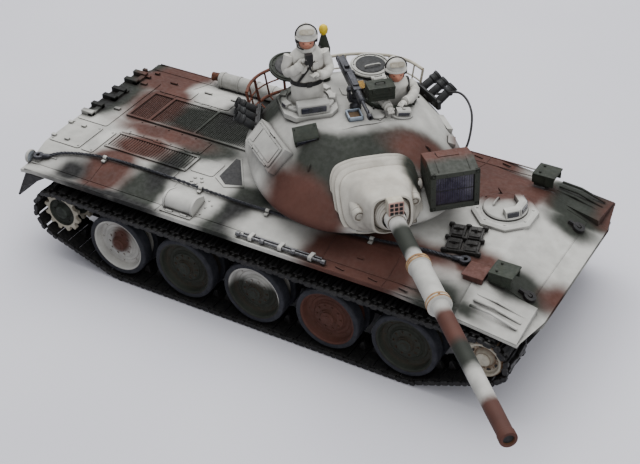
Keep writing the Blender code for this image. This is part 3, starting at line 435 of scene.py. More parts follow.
def lamp_paint():
    """Dark paint on the searchlight, brown over the back of its roof."""
    graph = Graph("searchlight_paint", 0.65)
    coords = graph.local(GUN)
    place = graph.node("SeparateXYZ", {0: graph.wobble(coords, 0.2, 3.0)}).outputs
    back = graph.math("MULTIPLY", graph.fit(place[0], 5.5, 1.0), graph.fit(place[2], 6.0, 8.5))
    colour = graph.mix(back, (0.030, 0.033, 0.027), BROWN)
    colour = graph.weather_and_shade(colour, coords)
    graph.bump(graph.noise(coords, 2.2, 4), 0.12, 0.12)
    return graph.finish(colour, graph.fit(graph.noise(coords, 0.8), 0.3, 0.7, 0.5, 0.75))


def canvas_cloth():
    """Off-white canvas, darkened along its pleats by a wash and painted shade, and woven finely."""
    graph = Graph("dust_cover_canvas", 0.9)
    coords = graph.local(TURRET)
    drift = graph.fit(graph.noise(coords, 0.12, 5), 0.35, 0.7)
    colour = graph.mix(drift, (0.42, 0.40, 0.355), (0.34, 0.32, 0.28))
    green = graph.blob(graph.wobble(coords, 0.15, 3.0), (22, 14, 55), (9, 7, 9), feather=2.5)
    colour = graph.mix(green, colour, GREEN)
    colour = graph.weather_and_shade(colour, coords, wash=0.9, wash_colour=(0.09, 0.07, 0.05), chips=0.15, reach=2.2)
    weave = graph.node("TexWave", {"Vector": coords, "Scale": 1.4, "Distortion": 1.5,
                                   "Detail": 2.0}).outputs["Fac"]
    graph.bump(graph.math("ADD", weave, graph.noise(coords, 0.6, 5)), 0.22, 0.18)
    return graph.finish(colour, graph.fit(graph.noise(coords, 0.9), 0.3, 0.7, 0.82, 0.95))


WHEEL_ZONES = [
    (GREEN, [zone(WHEEL_X[1], 0, 14, BIG, 0, 14, 14), zone(WHEEL_X[2], 0, 13, BIG, 0, 9, 9),
             zone(WHEEL_X[4], 0, 14, BIG, 0, 14, 14), zone(SPROCKET[0], 0, 12, BIG, 0, 18, 12)]),
    (BROWN, [zone(WHEEL_X[3], 0, 14, BIG, 0, 14, 14), zone(WHEEL_X[0] + 1, 0, 4, BIG, 0, 16, 5)]),
]

M = {
    "hull": camouflage("hull_camouflage", HULL, WHITE, HULL_ZONES),
    "turret": camouflage("turret_camouflage", TURRET, WHITE, TURRET_ZONES),
    "wheel": camouflage("wheel_camouflage", HULL, WHITE, WHEEL_ZONES, 1.6, 1.5, wash=0.85,
                        wash_colour=(0.05, 0.025, 0.015), reach=2.2),
    "gun": barrel_paint(),
    "green": plain("green_paint", GREEN, (0.038, 0.045, 0.036), roughness=0.68),
    "dark_green": plain("dark_green_paint", (0.016, 0.021, 0.015), (0.024, 0.028, 0.020), roughness=0.65),
    "brown": plain("brown_paint", BROWN, (0.10, 0.045, 0.038), roughness=0.7),
    "white": plain("white_paint", WHITE, (0.34, 0.335, 0.31), roughness=0.72),
    "cream": plain("cream_paint", CREAM, (0.33, 0.30, 0.24), roughness=0.7,
                   wash_colour=(0.12, 0.055, 0.02)),
    "rust": plain("rust", (0.13, 0.045, 0.022), (0.05, 0.022, 0.015), scale=1.2, roughness=0.85),
    "rubber": plain("tyre_rubber", (0.014, 0.015, 0.020), (0.024, 0.025, 0.031), roughness=0.7,
                    chips=0.0, wash=0.5),
    "black": plain("black_plastic", (0.012, 0.012, 0.013), (0.022, 0.021, 0.021), roughness=0.5, chips=0.0),
    "track": plain("track_steel", (0.016, 0.016, 0.017), (0.034, 0.033, 0.032), scale=0.9, roughness=0.42,
                   metallic=0.55, bump=0.3, chips=0.0, wash=0.6),
    "worn": plain("worn_steel", (0.16, 0.16, 0.165), (0.07, 0.07, 0.075), scale=1.5, roughness=0.38,
                  metallic=0.8, chips=0.0, wash=0.7),
    "steel": plain("gunmetal", (0.035, 0.036, 0.042), (0.065, 0.066, 0.075), scale=1.0, roughness=0.42,
                   metallic=0.7, chips=0.0, wash=0.6),
    "cloth": plain("winter_cloth", (0.50, 0.49, 0.45), (0.42, 0.41, 0.38), scale=0.3, roughness=0.9,
                   chips=0.0, wash=0.9, wash_colour=(0.10, 0.085, 0.07), reach=1.3, bump=0.25, grain=5.0),
    "skin": plain("painted_skin", (0.46, 0.21, 0.14), (0.38, 0.15, 0.10), scale=0.8, roughness=0.55,
                  chips=0.0, wash=0.6, wash_colour=(0.12, 0.03, 0.02), reach=0.6),
    "yellow": plain("yellow_cap", (0.55, 0.40, 0.02), (0.45, 0.30, 0.02), roughness=0.5, chips=0.0),
    "tray": plain("pale_blue_paint", (0.36, 0.42, 0.50), (0.28, 0.33, 0.40), roughness=0.5, chips=0.2),
    "tan": plain("tan_paint", (0.17, 0.11, 0.06), (0.12, 0.08, 0.05), roughness=0.7),
    "motor": plain("plated_steel", (0.55, 0.56, 0.58), (0.42, 0.43, 0.45), roughness=0.3, metallic=0.9,
                   chips=0.0),
    "cell": plain("shrink_wrap", (0.07, 0.19, 0.42), (0.05, 0.14, 0.34), roughness=0.35, chips=0.0),
    "board": plain("solder_mask", (0.02, 0.17, 0.07), (0.015, 0.12, 0.05), roughness=0.4, chips=0.0),
    "lens": plain("lamp_glass", (0.30, 0.33, 0.36), (0.18, 0.20, 0.22), roughness=0.12, specular=0.5,
                  chips=0.0, bump=0.02),
    "glass": plain("dark_glass", (0.012, 0.014, 0.020), (0.03, 0.03, 0.045), roughness=0.1, specular=0.5,
                   chips=0.0, bump=0.02),
    "worn_track": plain("spare_steel", (0.022, 0.021, 0.020), (0.038, 0.036, 0.034), scale=0.9,
                        roughness=0.5,
                        metallic=0.4, chips=0.0),
    "rust_paint": plain("rusty_paint", (0.16, 0.055, 0.03), (0.09, 0.04, 0.03), scale=0.8, roughness=0.8),
    "brass": plain("cartridge_brass", (0.45, 0.28, 0.08), (0.30, 0.18, 0.06), roughness=0.4, metallic=0.8,
                   chips=0.0),
    "pink": plain("pink_coating", (0.42, 0.26, 0.22), (0.34, 0.20, 0.17), roughness=0.5, chips=0.0),
    "tan_band": plain("collar_paint", (0.30, 0.20, 0.10), (0.15, 0.07, 0.03), scale=0.6, roughness=0.75),
    "dark_steel": plain("launcher_paint", (0.018, 0.019, 0.020), (0.012, 0.012, 0.012), scale=0.8,
                        roughness=0.55),
    "lamp_paint": lamp_paint(),
    "lamp_pane": plain("lamp_pane", (0.030, 0.026, 0.045), (0.05, 0.045, 0.07), roughness=0.14,
                       specular=0.5, chips=0.0, bump=0.02),
    "canvas": canvas_cloth(),
    "plastic": plain("moulded_plastic", (0.09, 0.10, 0.09), (0.06, 0.065, 0.06), roughness=0.5, chips=0.0),
}


# ---------------------------------------------------------------- pieces

def absorb(whole, shape):
    """Adds a shape to a larger one, and frees it."""
    part = bpy.data.meshes.new("part")
    shape.to_mesh(part)
    shape.free()
    whole.from_mesh(part)
    bpy.data.meshes.remove(part)


def make(name, body, place, groups, slot=None, nodes=(), bevel=0.0, smooth=35, cuts=()):
    """One piece: groups are (material, shapes) pairs drawn in the frame of place."""
    whole = bmesh.new()
    mesh = bpy.data.meshes.new(name)
    for index, (paint, shapes) in enumerate(groups):
        mesh.materials.append(M[paint])
        for shape in shapes:
            for face in shape.faces:
                face.material_index = index
            absorb(whole, shape)
    whole.transform(stretch(MM, MM, MM) @ place)
    whole.to_mesh(mesh)
    whole.free()
    obj = bpy.data.objects.new(name, mesh)
    bpy.context.scene.collection.objects.link(obj)
    if cuts:
        carve(obj, place, cuts)
    obj.data.shade_smooth()
    obj.data.set_sharp_from_angle(angle=math.radians(smooth))
    if bevel:
        edge = obj.modifiers.new("edges", "BEVEL")
        edge.width = bevel * MM
        edge.segments = 2
        edge.limit_method = "ANGLE"
        edge.angle_limit = math.radians(40)
        edge.harden_normals = True
    if body:
        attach(obj, body)
    if nodes:
        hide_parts(*nodes)
    return obj


def carve(obj, place, cuts):
    """Cuts shapes out of an object's mesh."""
    helpers = []
    for shape in cuts:
        shape.transform(stretch(MM, MM, MM) @ place)
        mesh = bpy.data.meshes.new("cutter")
        shape.to_mesh(mesh)
        shape.free()
        helper = bpy.data.objects.new("cutter", mesh)
        bpy.context.scene.collection.objects.link(helper)
        modifier = obj.modifiers.new("cut", "BOOLEAN")
        modifier.operation = "DIFFERENCE"
        modifier.solver = "EXACT"
        modifier.object = helper
        helpers.append(helper)
    solid = bpy.data.meshes.new_from_object(obj.evaluated_get(bpy.context.evaluated_depsgraph_get()))
    obj.modifiers.clear()
    obj.data = solid
    for helper in helpers:
        bpy.data.objects.remove(helper)


def repaint(paint, *nodes):
    for node in nodes:
        NODES[node].data.materials.clear()
        NODES[node].data.materials.append(M[paint])


# ---------------------------------------------------------------- running gear

def arc_points(centre, radius, first, last, steps):
    return [Vector((centre[0] + radius * math.cos(math.radians(first + (last - first) * i / steps)), 0,
                    centre[1] + radius * math.sin(math.radians(first + (last - first) * i / steps))))
            for i in range(steps + 1)]


def track_line():
    """The line that the inside of the track follows round its wheels."""
    gap = 0.38
    top = WHEEL_Z + WHEEL_RADIUS + gap
    line = arc_points((WHEEL_X[0], WHEEL_Z), WHEEL_RADIUS + gap, 250, 270, 6)
    line += arc_points((WHEEL_X[-1], WHEEL_Z), WHEEL_RADIUS + gap, 270, 293, 6)
    line += arc_points(IDLER, 6.6 + gap + 0.1, 293, 450, 24)
    line += [Vector((WHEEL_X[-1] + 6, 0, top + 0.1)), Vector((WHEEL_X[-1], 0, top)),
             Vector((WHEEL_X[0], 0, top)), Vector((WHEEL_X[0] - 6, 0, top + 0.1))]
    return line + arc_points(SPROCKET, 7.8 + gap + 0.1, 90, 250, 26)


def track_link():
    """One link and its connectors: X along the track, Z out of the loop."""
    steel = [box((-2.3, 2.3), (-6.9, 6.9), (0.25, 1.1)),
             box((-0.55, 0.35), (-7.0, 7.0), (1.0, 2.3))]
    for side in (-1, 1):
        lug = prism(rounded((-1.5, 1.5), (0.1, 1.9), 0.7, 2), (side * 7.0, side * 7.8), "y")
        steel.append(lug)
        steel.append(moved(prism(rounded((-1.15, 1.15), (0.35, 2.05), 0.8, 2), (side * 6.3, side * 7.75),
                                 "y"),
                           at(2.45, 0, 0)))
        steel.append(prism([(-1.9, side * 5.9), (-0.7, side * 1.0), (0.9, side * 1.0), (1.7, side * 5.9)],
                           (1.3, 2.3), "z"))
    horn = loft([[(-1.3, -0.9, 0.4), (1.3, -0.9, 0.4), (1.3, 0.9, 0.4), (-1.3, 0.9, 0.4)],
                 [(-0.9, -0.8, -1.4), (0.9, -0.8, -1.4), (0.9, 0.8, -1.4), (-0.9, 0.8, -1.4)],
                 [(-0.3, -0.5, -2.6), (0.5, -0.5, -2.6), (0.5, 0.5, -2.6), (-0.3, 0.5, -2.6)]])
    steel.append(horn)
    for shape in steel:
        bmesh.ops.recalc_face_normals(shape, faces=shape.faces)
    whole = bmesh.new()
    for shape in steel:
        absorb(whole, shape)
    return whole


def tracks():
    line = track_line()
    line.append(line[0])
    lengths = [0.0]
    for a, b in zip(line, line[1:]):
        lengths.append(lengths[-1] + (b - a).length)
    count = round(lengths[-1] / LINK_PITCH)
    for side, sign in SIDES:
        links = []
        for i in range(count):
            want = lengths[-1] * (i + 0.5) / count
            spot = next(k for k in range(1, len(line)) if lengths[k] >= want)
            share = (want - lengths[spot - 1]) / (lengths[spot] - lengths[spot - 1])
            here = line[spot - 1].lerp(line[spot], share)
            ahead = (line[spot] - line[spot - 1]).normalized()
            out = Vector((ahead.z, 0, -ahead.x))
            turn = Matrix((ahead, (0, -1, 0), out)).transposed().to_4x4()
            links.append(moved(track_link(), at(here.x, sign * TRACK_Y, here.z) @ turn))
        make(f"track_links_{side}", "hull", HULL, [("track", links)], "track_steel", [f"track_{side}"],
             0.16)


def tyre(radius, low, high, lip):
    return turned([(radius - 1.8, low), (radius - 0.35, low), (radius, low + 0.4), (radius, high - 0.6),
                   (radius - 0.25, high - 0.15), (radius - 0.7, high), (radius - lip, high - 0.1),
                   (radius - lip, low + 0.5)], axis="y", steps=56, closed=True)


def wheel_frame(x, sign, z):
    """A wheel's frame, with Y pointing out of the tank."""
    return HULL @ at(x, sign * WHEEL_Y, z) @ (spin(180, "Z") if sign < 0 else Matrix.Identity(4))


def facing_y(shape):
    """Turns a shape drawn along Z so that it faces along Y."""
    return moved(shape, spin(-90, "X"))


def face_bolts(count, circle, radius, height, lift):
    """A ring of bolts standing out of a wheel's face."""
    return [facing_y(b) for b in ring_of(count, circle, lambda: moved(bolt(radius, height),
                                                                      at(0, 0, lift)))]


def road_wheels():
    disc = [(1.9, -6.0), (5, -5.7), (9, -4.8), (10.3, -5.4), (10.3, -1.9), (8.7, -1.5), (8.7, 1.5),
            (10.3, 1.9), (10.3, 6.0), (9.9, 6.05), (9.55, 5.7), (9.3, 4.3), (8.9, 3.6), (7.6, 3.3), (7.3,
                                                                                                     3.5),
            (6.3, 3.45), (6.0, 3.8), (5.6, 4.0), (5.3, 4.5), (3.7, 4.7), (3.2, 4.8), (2.9, 5.5), (1.9, 5.5)]
    cap = [(0.6, 4.4), (2.6, 4.4), (2.6, 5.9), (2.3, 6.2), (1.5, 6.2), (1.4, 6.45), (0.3, 6.45)]
    for side, sign in SIDES:
        for number, x in enumerate(WHEEL_X, start=1):
            hub = [turned(disc, axis="y", steps=56, closed=True), turned(cap, axis="y", steps=28)]
            hub += face_bolts(10, 4.5, 0.42, 0.5, 4.6)
            hub += face_bolts(8, 8.1, 0.28, 0.25, 3.4)
            name = f"road_wheel_{side}_{number}"
            make(f"{name}_shape", name, wheel_frame(x, sign, WHEEL_Z),
                 [("wheel", hub), ("rubber", [tyre(WHEEL_RADIUS, 1.6, 6.25, 1.75),
                                              moved(tyre(WHEEL_RADIUS, 1.6, 6.1, 1.75),
                                                                              stretch(1, -1, 1))])],
                 "wheel_paint", [name], smooth=28)


def toothed(count, tip, root, inner, low, high):
    """A ring of teeth with a round hole, along Y."""
    outer, hole = [], []
    for tooth in range(count):
        for offset, radius in ((-0.42, root), (-0.3, root + 0.1), (-0.13, tip), (0.13, tip), (0.3,
                                                                                              root + 0.1),
                               (0.42, root)):
            angle = (tooth + 0.5 + offset) * math.tau / count
            outer.append((radius * math.cos(angle), radius * math.sin(angle)))
            hole.append((inner * math.cos(angle), inner * math.sin(angle)))
    return loft([[(u, y, v) for u, v in ring] for ring, y in
                 ((hole, low), (outer, low), (outer, high), (hole, high))], True)


def sprockets_and_idlers():
    for side, sign in SIDES:
        name = f"sprocket_{side}"
        teeth = [toothed(12, 7.8, 6.3, 5.5, 2.9, 4.4), toothed(12, 7.8, 6.3, 5.5, -5.7, -4.2)]
        dish = [(1.6, -6.2), (5.8, -5.8), (5.8, -4.4), (4.4, -3.6), (4.4, 2.6), (5.9, 2.8), (5.9, 4.2),
                (5.4, 4.3), (5.1, 3.4), (3.4, 2.9), (2.8, 3.6), (2.5, 4.6), (1.4, 4.9), (0.2, 4.9)]
        hub = [turned(dish, axis="y", steps=48), turned([(1.6, -16.4), (1.6, -6.0)], axis="y", steps=20)]
        hub += face_bolts(6, 4.2, 0.4, 0.4, 3.1)
        make(f"{name}_shape", name, wheel_frame(SPROCKET[0], sign, SPROCKET[1]),
             [("green", hub), ("cream", teeth)], "wheel_paint", [name], 0.08, 30)
        name = f"idler_{side}"
        disc = [(1.9, -6.0), (5.0, -5.4), (6.4, -5.9), (6.6, -5.4), (6.6, -1.6), (3.6, -1.4), (3.6, 1.4),
                (6.6, 1.6), (6.6, 5.6), (6.2, 6.1), (5.5, 6.1), (5.2, 5.0), (3.6, 4.0), (3.0, 4.6), (2.6,
                                                                                                     5.6),
                (1.9, 5.6)]
        hub = [turned(disc, axis="y", steps=44, closed=True),
               turned([(0.4, 4.4), (2.4, 4.4), (2.4, 6.0), (2.0, 6.3), (0.3, 6.4)], axis="y", steps=24)]
        hub += face_bolts(8, 4.4, 0.4, 0.5, 4.3)
        # Painted shade: black discs on the face stand for the holes through the idler.
        holes = [facing_y(b) for b in ring_of(8, 4.6, lambda: turned([(0.5, 4.62), (0.75, 4.72)], steps=10),
                                              22)]
        make(f"{name}_shape", name, wheel_frame(IDLER[0], sign, IDLER[1]),
             [("cream", hub), ("black", holes)], "wheel_paint", [name], smooth=28)


# ---------------------------------------------------------------- hull details

def lid(x, y, z=DECK, thick=0.35, corner=1.0):
    """A flat plate with soft corners lying on the deck."""
    return prism(rounded(x, y, corner, 3), (z - 0.3, z + thick))


def hinge(x, y, z, length=3.0, along="x"):
    ends = ((x - length / 2, y, z), (x + length / 2, y, z)) if along == "x" else (
        (x, y - length / 2, z), (x, y + length / 2, z))
    return [tube(ends, 0.45, 8)]


def side_height(y):
    """Height of the hull's top at a distance from its middle."""
    over = max(0.0, abs(y) - 28.0)
    return DECK - min(over, 10.0) * 0.3


def deck_details():
    """Panels, hinges, bolts, brackets and clips on the hull's top."""
    plates, darks = [], []
    # Grille frames and their cross ribs.
    for x in (-82, -72.5, -52.5, -30):
        plates.append(box((x - 0.5, x + 0.5), (1, 18), (DECK - 0.2, DECK + 0.75)))
    for y in (0.6, 18.4):
        plates.append(box((-82.5, -29), (y - 0.5, y + 0.5), (DECK - 0.2, DECK + 0.75)))
    # Louvre frame and the plates round it.
    for y in (-11.4, -20.6):
        plates.append(box((-77, -41.5), (y - 0.45, y + 0.45), (DECK - 0.2, DECK + 0.6)))
    for x in (-76.6, -41.8):
        plates.append(box((x - 0.45, x + 0.45), (-20.6, -11.4), (DECK - 0.2, DECK + 0.6)))
    plates += [lid((-98, -84.4), (-26.8, -11.4)), lid((-83.4, -78.2), (-26.8, -11.4)),
               lid((-76, -43), (-9.6, -0.6), thick=0.3), lid((-40.5, -31), (-19.4, -10.6), thick=0.3),
               lid((-76, -43), (-27.2, -22), thick=0.25), lid((-66, -50.5), (20.6, 27), thick=0.3),
               lid((-82, -67.5), (20.6, 27), thick=0.3), lid((-98, -84.4), (-9.8, 26), thick=0.3)]
    for x in (-75, -61, -47):
        plates += hinge(x, -10.4, DECK + 0.5, 3.2)
    for x in (-80, -64, -52):
        plates += hinge(x, 28.0, DECK + 0.4, 3.2)
    for x in (-79, -74, -62, -58, -54):
        plates.append(moved(bolt(0.5, 0.4), at(x, 19.8, DECK + 0.1)))
    for x, y in ((-97, -25.5), (-97, -12.6), (-85.4, -25.5), (-85.4, -12.6), (-79.4, -25.6), (-79.4,
                                                                                              -12.6)):
        plates.append(moved(bolt(0.4, 0.3), at(x, y, DECK + 0.35)))
    for x in range(-74, -42, 6):
        plates.append(moved(bolt(0.35, 0.3), at(x, -1.4, DECK + 0.3)))
        plates.append(moved(bolt(0.35, 0.3), at(x, -8.8, DECK + 0.3)))
    plates += bolts(at(-34.5, -23.6, DECK), 5, 2.0, 0.6, 0.45)
    # The small mesh window beside the turret.
    window = [(-29.5, -18.6), (-24.2, -22.2), (-18.0, -19.5), (-28.0, -5.0), (-30.0, -5.0)]
    plates.append(prism(grown(window, 0.6), (DECK - 0.2, DECK + 0.3)))
    # Painted shade: a black inset inside the window stands for the dark opening behind its mesh.
    darks.append(prism(grown(window, -0.9), (DECK, DECK + 0.42)))
    # Raised boxes and lifting brackets over the tail.
    for y, reach in ((-7, 5), (6, 6), (20, 6)):
        plates += [box((-98.2, -98.2 + reach), (y, y + 2.0), (DECK, DECK + 2.0)),
                   box((-98.2, -98.2 + reach), (y + 6, y + 8.0), (DECK, DECK + 2.0)),
                   box((-98.2 + reach - 2, -98.2 + reach), (y, y + 8.0), (DECK, DECK + 1.4))]
    for x in (-97.6, -91.5):
        for y in (-24, -14, 33, 27):
            plates.append(block((x, y, side_height(y) + 0.5), (1.8, 1.3, 1.2)))
    for x, y in ((-93, 14), (-88, 2), (-90, 22)):
        plates.append(block((x, y, DECK + 0.6), (2.6, 1.4, 0.9)))
    # Ribs and seams along both sloping sides.
    for side in (-1, 1):
        y = side * 38.2
        plates.append(tube([(-97, y, 34.05), (72, y, 34.05)], 0.22, 6))
        plates.append(tube([(-97, side * 42.7, 34.0), (70, side * 42.7, 34.0)], 0.3, 6))
        for x in (-71, -40, 24, 48):
            plates.append(tube([(x, side * 28.2, 37.0), (x, side * 38.0, 34.05), (x, side * 42.6, 34.05)],
                               0.16, 5))
        for x in (32, 44, 55):
            plates.append(moved(block((0, 0, 0), (3.4, 0.5, 0.5)), at(x, side * 40.6, 34.2) @ spin(-10,
                                                                                                   "Z")))
    for x, y in ((36, -34), (58, -34), (-90, -34)):
        plates.append(block((x, y, side_height(y) + 0.15), (2.2, 0.6, 0.5)))
    # Front: seams, tow eyes, and the joint of the nose plate.
    drop = 0.405
    for (ax, ay), (bx, by) in (((91.5, -25), (91.5, 25)), ((84, -25), (91.5, -25.2)), ((84, 25),
                                                                                       (91.5, 25.2))):
        plates.append(tube([(ax, ay, 37 - (ax - 77) * drop + 0.05), (bx, by, 37 - (bx - 77) * drop + 0.05)],
                           0.16, 5))
    for y in (-22.6, 19.4):
        slope = at(90.4, y, 31.9) @ spin(22, "Y")
        darks.append(moved(turned([(0.9, -0.5), (2.1, -0.5), (2.1, 0.9), (0.9, 0.9)], steps=20,
                                  closed=True), slope))
        darks.append(moved(box((-2.2, 2.2), (-0.5, 0.5), (-0.5, 1.0)), slope @ at(-1.8, 0, 0)))
    make("deck_fittings", "hull", HULL, [("hull", plates), ("black", darks)], "hull_paint", bevel=0.12)


def grille_mesh():
    """Woven mesh over the engine, and the slats of the panel beside it."""
    low = DECK - 0.15
    bars = []
    x = -81.4
    while x < -31:
        bars.append(box((x - 0.14, x + 0.14), (1.1, 17.9), (low, DECK + 0.25)))
        x += 0.78
    y = 1.5
    while y < 17.9:
        bars.append(box((-81.8, -30.4), (y - 0.12, y + 0.12), (low, DECK + 0.18)))
        y += 0.78
    slats = []
    x = -75.6
    while x < -42.4:
        slats.append(moved(box((-0.32, 0.32), (-19.9, -12.1), (-0.3, 0.3)), at(x, 0, DECK) @ spin(28, "Y")))
        x += 1.1
    # Painted shade: a black sheet under the mesh and the slats stands for the dark space below them.
    floor = [box((-81.8, -8.2), (1.2, 17.8), (DECK - 0.55, DECK - 0.3)),
             box((-75.8, -42.2), (-19.8, -12.2), (DECK - 0.55, DECK - 0.3))]
    make("grille_mesh", "hull", HULL, [("hull", bars), ("hull", slats), ("black", floor)], "hull_paint",
         ["engine_grille", "louvre_panel"])


CABLE = [(-93, -35.0), (-86, -31), (-71, -28.0), (-49, -27.2), (-22, -28.3), (-2.5, -28.4),
         (12, -28.0), (36, -25.8), (52, -23.3), (60, -22.6), (65, -22.3)]


def tow_rope():
    """The twisted wire rope with its clips and forked ends."""
    route = smooth_path([(x, y, side_height(y) + ROPE_LIFT) for x, y in CABLE], 14)
    strands = []
    for strand in range(3):
        path, side = [], None
        travelled = 0.0
        for i, point in enumerate(route):
            along = (route[min(i + 1, len(route) - 1)] - route[max(i - 1, 0)]).normalized()
            side = along.orthogonal() if side is None else (side - along * side.dot(along)).normalized()
            third = along.cross(side)
            angle = travelled * 1.5 + strand * math.tau / 3
            path.append(point + 0.28 * (math.cos(angle) * side + math.sin(angle) * third))
            if i + 1 < len(route):
                travelled += (route[i + 1] - point).length
        strands.append(tube(path, 0.33, 6))
    ends = []
    for end, turn in ((route[0], 203), (route[-1], 8)):
        place = at(*end) @ spin(turn, "Z")
        ends.append(moved(turned([(0.65, -1.6), (0.95, -1.0), (0.95, 1.6), (0.7, 2.2)], axis="x", steps=12),
                          place))
        ends.append(moved(turned([(0.9, -0.55), (1.9, -0.55), (1.9, 0.55), (0.9, 0.55)], (2.6, 0, 0), "z",
                                 18,
                                 True), place))
    clips = []
    for x, y in ((-2.5, -28.4), (-71, -28.0), (-30, -27.9), (36, -25.8)):
        z = side_height(y) + ROPE_LIFT
        clips.append(moved(turned([(0.5, -0.7), (0.74, -0.7), (0.74, 0.7), (0.5, 0.7)], axis="x", steps=14,
                                  closed=True),
                           at(x, y, z)))
        clips.append(block((x, y - 1.2, z - 0.7), (1.4, 1.4, 0.5)))
    make("tow_rope", "hull", HULL, [("steel", strands), ("steel", ends), ("white", clips)], "gunmetal",
         ["tow_cable"], smooth=50)


def fender_fittings():
    """The exhaust, the round-backed box, the cleaning rods, the flaps and the reflector."""
    top = 34.0
    cover = [(38.3, top), (42.3, top), (42.3, top + 3.4)]
    cover += [(39.8 + 2.5 * math.cos(a), top + 3.5 + 2.5 * math.sin(a)) for a in
              [math.pi * i / 12 for i in range(1, 13)]] + [(37.3, top + 1)]
    guard = [prism(cover, (-66, -34), "x")]
    for x in (-64.5, -57, -49, -41.5, -35.5):
        guard.append(prism(grown(cover, 0.25), (x - 0.4, x + 0.4), "x"))
    pipe = [(1.55, 4.4), (1.6, 1), (1.75, 0), (1.65, -0.35), (1.25, -0.35), (1.2, 0.5), (1.15, 4), (0.2, 4)]
    mouth = moved(turned(pipe, axis="x", steps=28), at(-69.5, 39.8, top + 3.4) @ spin(14, "Z"))
    make("exhaust_cover", "hull", HULL, [("white", guard)], "hull_paint", ["exhaust_guard"], 0.15)
    make("exhaust_pipe", "hull", HULL, [("rust", [mouth])], "hull_paint")
    back = [(-36.2 + 3.5 * math.cos(a), 35.9 + 3.5 * math.sin(a)) for a in
            [math.radians(70 + 135 * i / 10) for i in range(11)]]
    locker = [(-31.8, 36.1), (-32.2, 38.2)] + back + [(-40.6, 34.0), (-38.4, 33.9)]
    shapes = [prism(locker, (-38.0, -26.2), "x"), prism(grown(locker, 0.28), (-38.2, -37.4), "x"),
              prism(grown(locker, 0.28), (-27.0, -26.0), "x")]
    shapes += hinge(-35, -40.6, 34.6, 2.6) + hinge(-29, -40.6, 34.6, 2.6)
    shapes.append(box((-38.5, -26), (-41.4, -39.8), (34.0, 34.5)))
    shapes += [moved(bolt(0.4, 0.4), at(x, -33.2, 38.2) @ spin(-15, "X")) for x in (-36, -32.2, -28.2)]
    shapes += [moved(bolt(0.35, 0.4), at(x, y, side_height(y))) for x, y in
               ((-24.6, -31), (-24.4, -34), (-24.6, -37), (-22.6, -32.5), (-40, -31), (-40, -36))]
    make("round_backed_box", "hull", HULL, [("hull", shapes)], "hull_paint", ["exhaust_box"], 0.15)
    y, z = -41.3, 35.2
    rods = [tube([(-7, y, z), (27, y, z)], 0.5, 12), tube([(-5, y + 1.5, z - 0.2), (25, y + 1.5, z - 0.2)],
                                                          0.45, 12)]
    rods += [turned([(0.75, -0.8), (0.85, -0.6), (0.85, 0.6), (0.75, 0.8)], (x, y, z), "x", 14)
             for x in (-6.4, 3, 15, 26.3)]
    straps = []
    for x in (-1.5, 10, 21.5):
        straps.append(prism(rounded((y - 0.9, y + 2.5), (34.0, z + 0.8), 0.5, 3), (x - 0.7, x + 0.7), "x"))
    make("cleaning_rod_set", "hull", HULL, [("worn", rods), ("white", straps)], "gunmetal",
         ["cleaning_rods"], 0.12)
    for side, sign in SIDES:
        flap = prism([(-95.6, 31.9), (-96.6, 31.9), (-101.9, 21.2), (-101.2, 20.9)], (sign * 30.4,
                                                                                      sign * 43.0), "y")
        web = prism([(-88, 32.2), (-96.6, 32.2), (-100.4, 24.4)], (sign * 42.3, sign * 42.9), "y")
        ribs = [prism([(-96.4, 31.8), (-97.2, 31.8), (-102.2, 21.4), (-101.8, 21.2)],
                      (sign * y, sign * (y + 0.6)), "y")
                for y in (32.4, 35.6, 38.8)]
        make(f"rubber_flap_{side}", "hull", HULL, [("black", [flap, web, *ribs])], "rubber",
             [f"mud_flap_{side}"], 0.15)
    lens = turned([(2.2, -0.6), (2.3, 0.3), (1.9, 0.9), (0.8, 1.2), (0.1, 1.3)], steps=26)
    rim = turned([(2.3, -0.7), (2.6, -0.6), (2.6, 0.2), (2.3, 0.3)], steps=26, closed=True)
    place = at(-98.6, -37.0, 35.4) @ spin(-90, "Y")
    make("rear_reflector", "hull", HULL, [("lens", [moved(lens, place)]), ("white", [moved(rim, place)])],
         "hull_paint")


